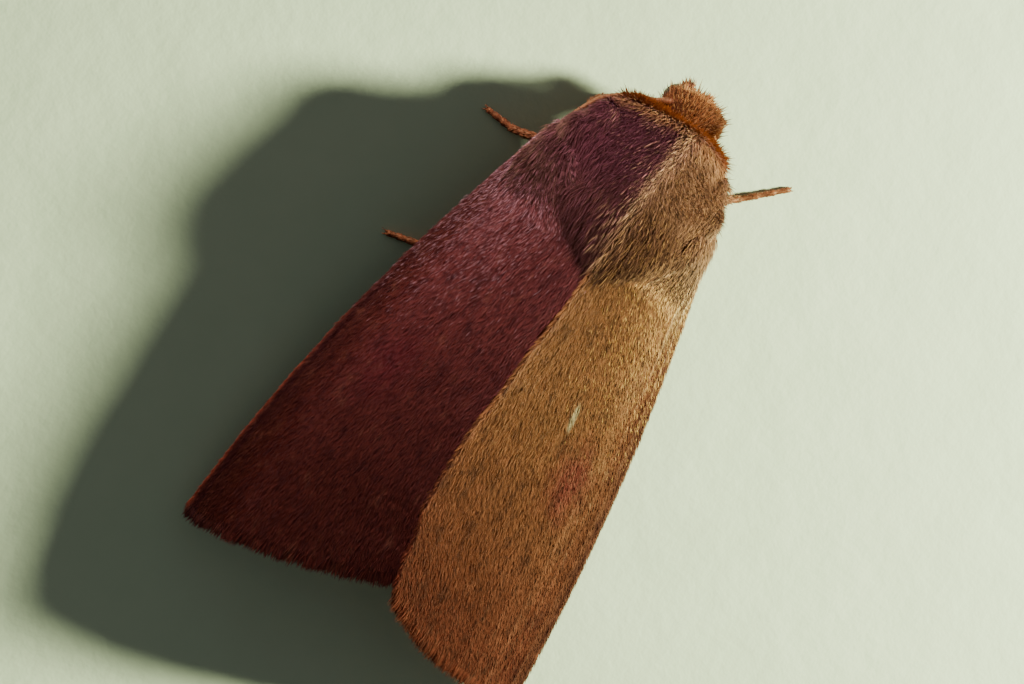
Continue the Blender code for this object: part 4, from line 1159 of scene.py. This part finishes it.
def body_coat(skin, wanted, count, length, width, lift, loose):
    """Woolly hair over a part of the skin: its length and stand change smoothly from part to part."""
    root, out = even_places(skin, count, wanted)
    head, _, rear, short = shares(root, out)
    along = hair_way(root, out) + 0.06 * np.stack([wander(root, 0.3, k) for k in (1.0, 2.0, 3.0)], 1)
    along = unit(along + rng.normal(0, 1, (count, 3)) * (loose + 0.16 * short)[:, None])
    buried = np.minimum((along * out).sum(1, keepdims=True), 0.02)
    along = unit(along - out * (buried - 0.02))
    room = room_above(root, out, ROOM)
    tight = smooth((room - 0.08) / 0.6)
    longer = 1 + 0.8 * rear - 0.25 * head - 0.4 * short - 0.45 * smooth((PALPS_FROM - root[:, 1]) / 0.15)
    length = length * longer * (0.35 + 0.65 * tight) * rng.uniform(0.7, 1.25, count)
    width = width * rng.uniform(0.8, 1.2, count)
    lift = lift * tight * rng.uniform(0.3, 1.7, count) * (1 + 0.35 * wander(root, 0.25, 5.0))
    coat = coat_of(root, along, out, length, width, lift, skin_unwrap(root), root)
    coat["lift"] = kept_off_floor(coat)
    return part_of(coat, room > 0.1)


def kept_off_floor(coat):
    """The tufts' lifts, less where a tip would dip into the floor."""
    tip = coat["root"][:, 2] + coat["along"][:, 2] * coat["length"]
    down = np.maximum(-coat["out"][:, 2], 0.01)
    return np.minimum(coat["lift"], np.maximum((tip - FLOOR_GAP) / down, 0))


def shown_fleece(place):
    """Where the fine dense fleece grows: head, collar and the upper thorax."""
    return smooth((FLEECE_END - place[:, 1]) / 0.3) * (0.12 + 0.88 * smooth((place[:, 2] - 2.0) / 0.7))


def long_fleece(place):
    """Where longer hairs stand over the fine ones: the rear of the thorax, and a few on head and collar."""
    rear = smooth((place[:, 1] + 5.4) / 1.0) * smooth((FLEECE_END - place[:, 1]) / 0.3)
    front = smooth((-7.1 - place[:, 1]) / 0.4)
    shown = smooth((place[:, 2] - 2.6) / 0.6) * smooth((FLEECE_END - place[:, 1]) / 0.3)
    return (rear + 0.6 * front + 0.12) * shown


def plain_wool(place):
    """Where the coarser wool grows: the abdomen and the underside."""
    return 1.02 - shown_fleece(place)


def wing_base(side):
    """Points along the fore wing's root and the front of its inner margin."""
    steps = np.linspace(0, 1, 60)
    return fore_top(side)(np.concatenate([0 * steps, 0.2 * steps]), np.concatenate([steps, 0 * steps + 1]))


def base_strands(skin, count=BASE_STRANDS):
    """Long strands that start on the body round the wings' bases and lie back over the wings."""
    line = np.concatenate([wing_base(side) for side in SIDES.values()])

    def wanted(place):
        gap = np.linalg.norm(place[:, None, :] - line[None, :, :], axis=2).min(1)
        return smooth((1.1 - gap) / 0.5) * smooth((place[:, 2] - 1.9) / 0.5)

    root, out = even_places(skin, count, wanted)
    way = np.stack([0.12 - 0.14 * root[:, 0], 1 + 0 * root[:, 0], 0 * root[:, 0]], 1)
    way = unit(way + rng.normal(0, 0.1, (count, 3)))
    room = room_above(root, out, ROOM)
    length, width = rng.uniform(0.35, 0.9, count), rng.uniform(0.018, 0.028, count)
    lift = rng.uniform(0.03, 0.18, count)
    coat = coat_of(root, flattened(way, out, 0.4), out, length, width, lift, skin_unwrap(root), root)
    return part_of(coat, room > 0.3)


def front_strands(skin, count=FRONT_STRANDS):
    """Long strands: up the collar's front and back over the thorax, forward over the brow, and on the right
    side of the neck."""

    def wanted(place):
        x, y, z = place.T
        behind = 0.25 * smooth((x + 0.4) / 0.4)
        collar = smooth((-7.45 - behind - y) / 0.25) * smooth((y + 8.15) / 0.05) * smooth((z - 2.5) / 0.6)
        brow = smooth((-8.8 - y) / 0.2) * smooth((z - 2.0) / 0.3) * smooth((y + 9.3) / 0.05)
        flank = smooth((-1.1 - x) / 0.3) * smooth((-7.2 - y) / 0.3) * smooth((y + 8.5) / 0.2)
        return collar + 0.8 * brow + flank * smooth((z - 2.3) / 0.4)

    root, out = even_places(skin, count, wanted)
    way = unit(hair_way(root, out) + out * 0.12 + rng.normal(0, 0.12, (count, 3)))
    onward = 1 - 0.5 * smooth((NECK - root[:, 1]) / 0.15)
    length, width = rng.uniform(0.3, 0.62, count) * onward, rng.uniform(0.022, 0.032, count)
    lift = rng.uniform(-0.05, 0.1, count)
    return coat_of(root, way, out, length, width, lift, skin_unwrap(root), root, darkest=0.35)


def skin_unwrap(root):
    """A place on the body skin as its angle round the body and its length along it."""
    angle = np.arctan2(root[:, 2] - 2.2, root[:, 0]) / (2 * math.pi) + 0.5
    along = (root[:, 1] + 10.2) / 15.6
    return patch_at(angle, np.clip(along, 0, 1))


def body(marks, wool):
    finish = body_finish("body_skin", marks, None, 0.7, 0.0)
    skin = body_skin()
    fleece = body_coat(skin, shown_fleece, *FLEECE)
    y = fleece["place"][:, 1]
    for name, low, high in FLEECE_ZONES:
        tufts(name + "_fleece", part_of(fleece, (y >= low) & (y < high)), SCALE, wool, "coat")
    tufts("long_strands", body_coat(skin, long_fleece, *LONG_STRANDS), HAIR, wool, "coat")
    tufts("front_strands", front_strands(skin), HAIR, wool, "coat")
    tufts("wing_base_strands", base_strands(skin), HAIR, wool, "coat")
    tufts("belly_wool", body_coat(skin, plain_wool, *BELLY_WOOL), SCALE, wool, "coat")
    settled(skin, finish, "coat", "head", "collar", "thorax", "abdomen", "tegula_left", "tegula_right",
            "palp_left", "palp_right")


# Head pieces and legs

def eyes():
    finish = eye_finish()
    for word, side in SIDES.items():
        fresh()
        bpy.ops.mesh.primitive_ico_sphere_add(subdivisions=5, radius=EYE_RADIUS)
        obj = named(bpy.context.object, "facet_eye_" + word)
        middle = (EYE_AT - EYE_SUNK) * (side, 1, 1) + (HEAD_ASIDE, 0, 0)
        move_corners(obj, corners_of(obj) * EYE_SHAPE + middle)
        obj.data.shade_smooth()
        settled(obj, finish, "eye", "eye_" + word)


def antennae():
    finish = horn_finish("antenna_horn", *ANTENNA_TONES)
    for word, side in SIDES.items():
        route = eased_route([(x * side, y, z) for x, y, z in ANTENNA_START[side] + ANTENNA_REST], 24)
        t = np.linspace(0, 1, len(route))
        taper = ANTENNA_RADIUS + (ANTENNA_TIP - ANTENNA_RADIUS) * smooth(t / 0.95)
        beads = 1 + 0.16 * np.abs(np.sin(np.arange(len(route)) * math.pi / 4))
        scape = 1 + 0.7 * np.exp(-(t / 0.03) ** 2)
        obj = tube("feeler_" + word, route, taper * beads * scape, 2)
        settled(obj, finish, "antenna", "antenna_" + word)


def proboscis():
    middle = PROBOSCIS_AT + (HEAD_ASIDE, 0, 0)
    turns = np.linspace(0, PROBOSCIS_TURNS * 2 * math.pi, 90)
    radius = PROBOSCIS_COIL * (1 - 0.75 * turns / turns[-1])
    coil = [middle + (0.02 * math.sin(a), r * math.cos(a), r * math.sin(a))
            for a, r in zip(turns + 1.2, radius)]
    start = middle + (0, 0.05, 0.75)
    route = eased_route([start, middle + (0, 0.28, 0.5)] + coil, 2)
    obj = tube("tongue", route, np.linspace(1.25, 0.6, len(route)) * PROBOSCIS_TUBE, 3)
    settled(obj, horn_finish("tongue_horn", *TONGUE_TONES), "antenna", "proboscis")


def leg_route(joints):
    """The leg's smooth middle line with its thickness: a stout thigh, a slim shin and five foot joints."""
    root, hip, knee, ankle, *foot = [np.array(p) for p in joints]
    foot = [p * (1, 1, 0) + (0, 0, z) for p, z in zip(foot, (0.14, 0.08))]
    places, radii = [root, root + (hip - root) * 0.5], [0.3, 0.28]
    for share, radius in ((0.0, 0.17), (0.2, 0.25), (0.6, 0.24), (0.93, 0.15)):
        places.append(hip + (knee - hip) * share)
        radii.append(radius)
    for share, radius in ((0.06, 0.13), (0.4, 0.16), (0.85, 0.13), (1.0, 0.12)):
        places.append(knee + (ankle - knee) * share)
        radii.append(radius)
    for k in range(FOOT_JOINTS):
        for inside, radius in ((0.12, 0.115), (0.9, 0.145)):
            share = (k + inside) / FOOT_JOINTS
            if share < 1 / 3:
                places.append(ankle + (foot[0] - ankle) * (share * 3))
            else:
                places.append(foot[0] + (foot[1] - foot[0]) * (share * 3 - 1) / 2)
            radii.append(radius * (1 - 0.35 * share))
    return places, radii


def claws(tip, way):
    """Two small hooked claws at the end of a foot."""
    aside = np.cross(way, (0, 0, 1))
    hooks = []
    for side in SIDES.values():
        a = tip - way * 0.04
        route = eased_route([a, a + way * 0.08 + aside * side * 0.05 + (0, 0, 0.03),
                             a + way * 0.16 + aside * side * 0.07 - (0, 0, 0.03)], 5)
        hooks.append(tube("claw", route, np.linspace(0.03, 0.008, len(route)), 1))
    return hooks


def legs():
    finish = horn_finish("leg_horn", *LEG_TONES)
    hair = horn_finish("leg_hair", *LEG_HAIR_TONES)
    for name, joints in LEGS.items():
        places, radii = leg_route(joints)
        route = eased_route(places, 3)
        at = np.linspace(0, len(radii) - 1, len(route))
        thick = np.interp(at, np.arange(len(radii)), radii)
        limb = tube("limb_" + name, route, thick, 3)
        hooks = claws(route[-1], unit(route[-1] - route[-4]))
        obj = joined([limb] + hooks, "limb_" + name)
        move_corners(obj, np.maximum(corners_of(obj), (-99, -99, 0.0)))
        leg_wool(name, obj, np.array(route), hair)
        settled(obj, finish, "leg", name)


def leg_wool(name, limb, route, finish):
    """Short hairs on a leg that lie towards its foot, longer on the thigh."""
    root, out = even_places(limb, LEG_HAIRS)
    gaps = np.linalg.norm(root[:, None, :] - route[None, :, :], axis=2)
    nearest = gaps.argmin(1)
    ways = unit(np.gradient(route, axis=0))
    share = nearest / (len(route) - 1)
    way = unit(ways[nearest] + rng.normal(0, 0.12, (LEG_HAIRS, 3)))
    along = flattened(way, out, 0.1)
    length = (0.3 - 0.2 * smooth(share / 0.8)) * rng.uniform(0.7, 1.2, LEG_HAIRS)
    lift = length * 0.3
    low = root[:, 2] + np.minimum(along[:, 2], 0) * length + np.minimum(out[:, 2], 0) * lift
    patch = np.column_stack([0.05 + 0.9 * share, root[:, 0] % 1])
    coat = coat_of(root, along, out, length, 0.05 - 0.02 * share, lift, patch, root)
    tufts(name + "_wool", part_of(coat, low > 0.03), HAIR, finish, "leg")


camera()
lights(floor())
wing_paint, body_paint, tints = wing_marks(), body_marks(), tuft_tints()
wool = body_finish("body_wool", body_paint, tints, 0.55, 0.25, Specular_IOR_Level=0.38, Specular_Tint=HONEY,
                   **SHEEN)
fore_wings(wing_paint, tints, wool)
hind_wings(body_paint, tints)
body(body_paint, wool)
eyes()
antennae()
proboscis()
legs()
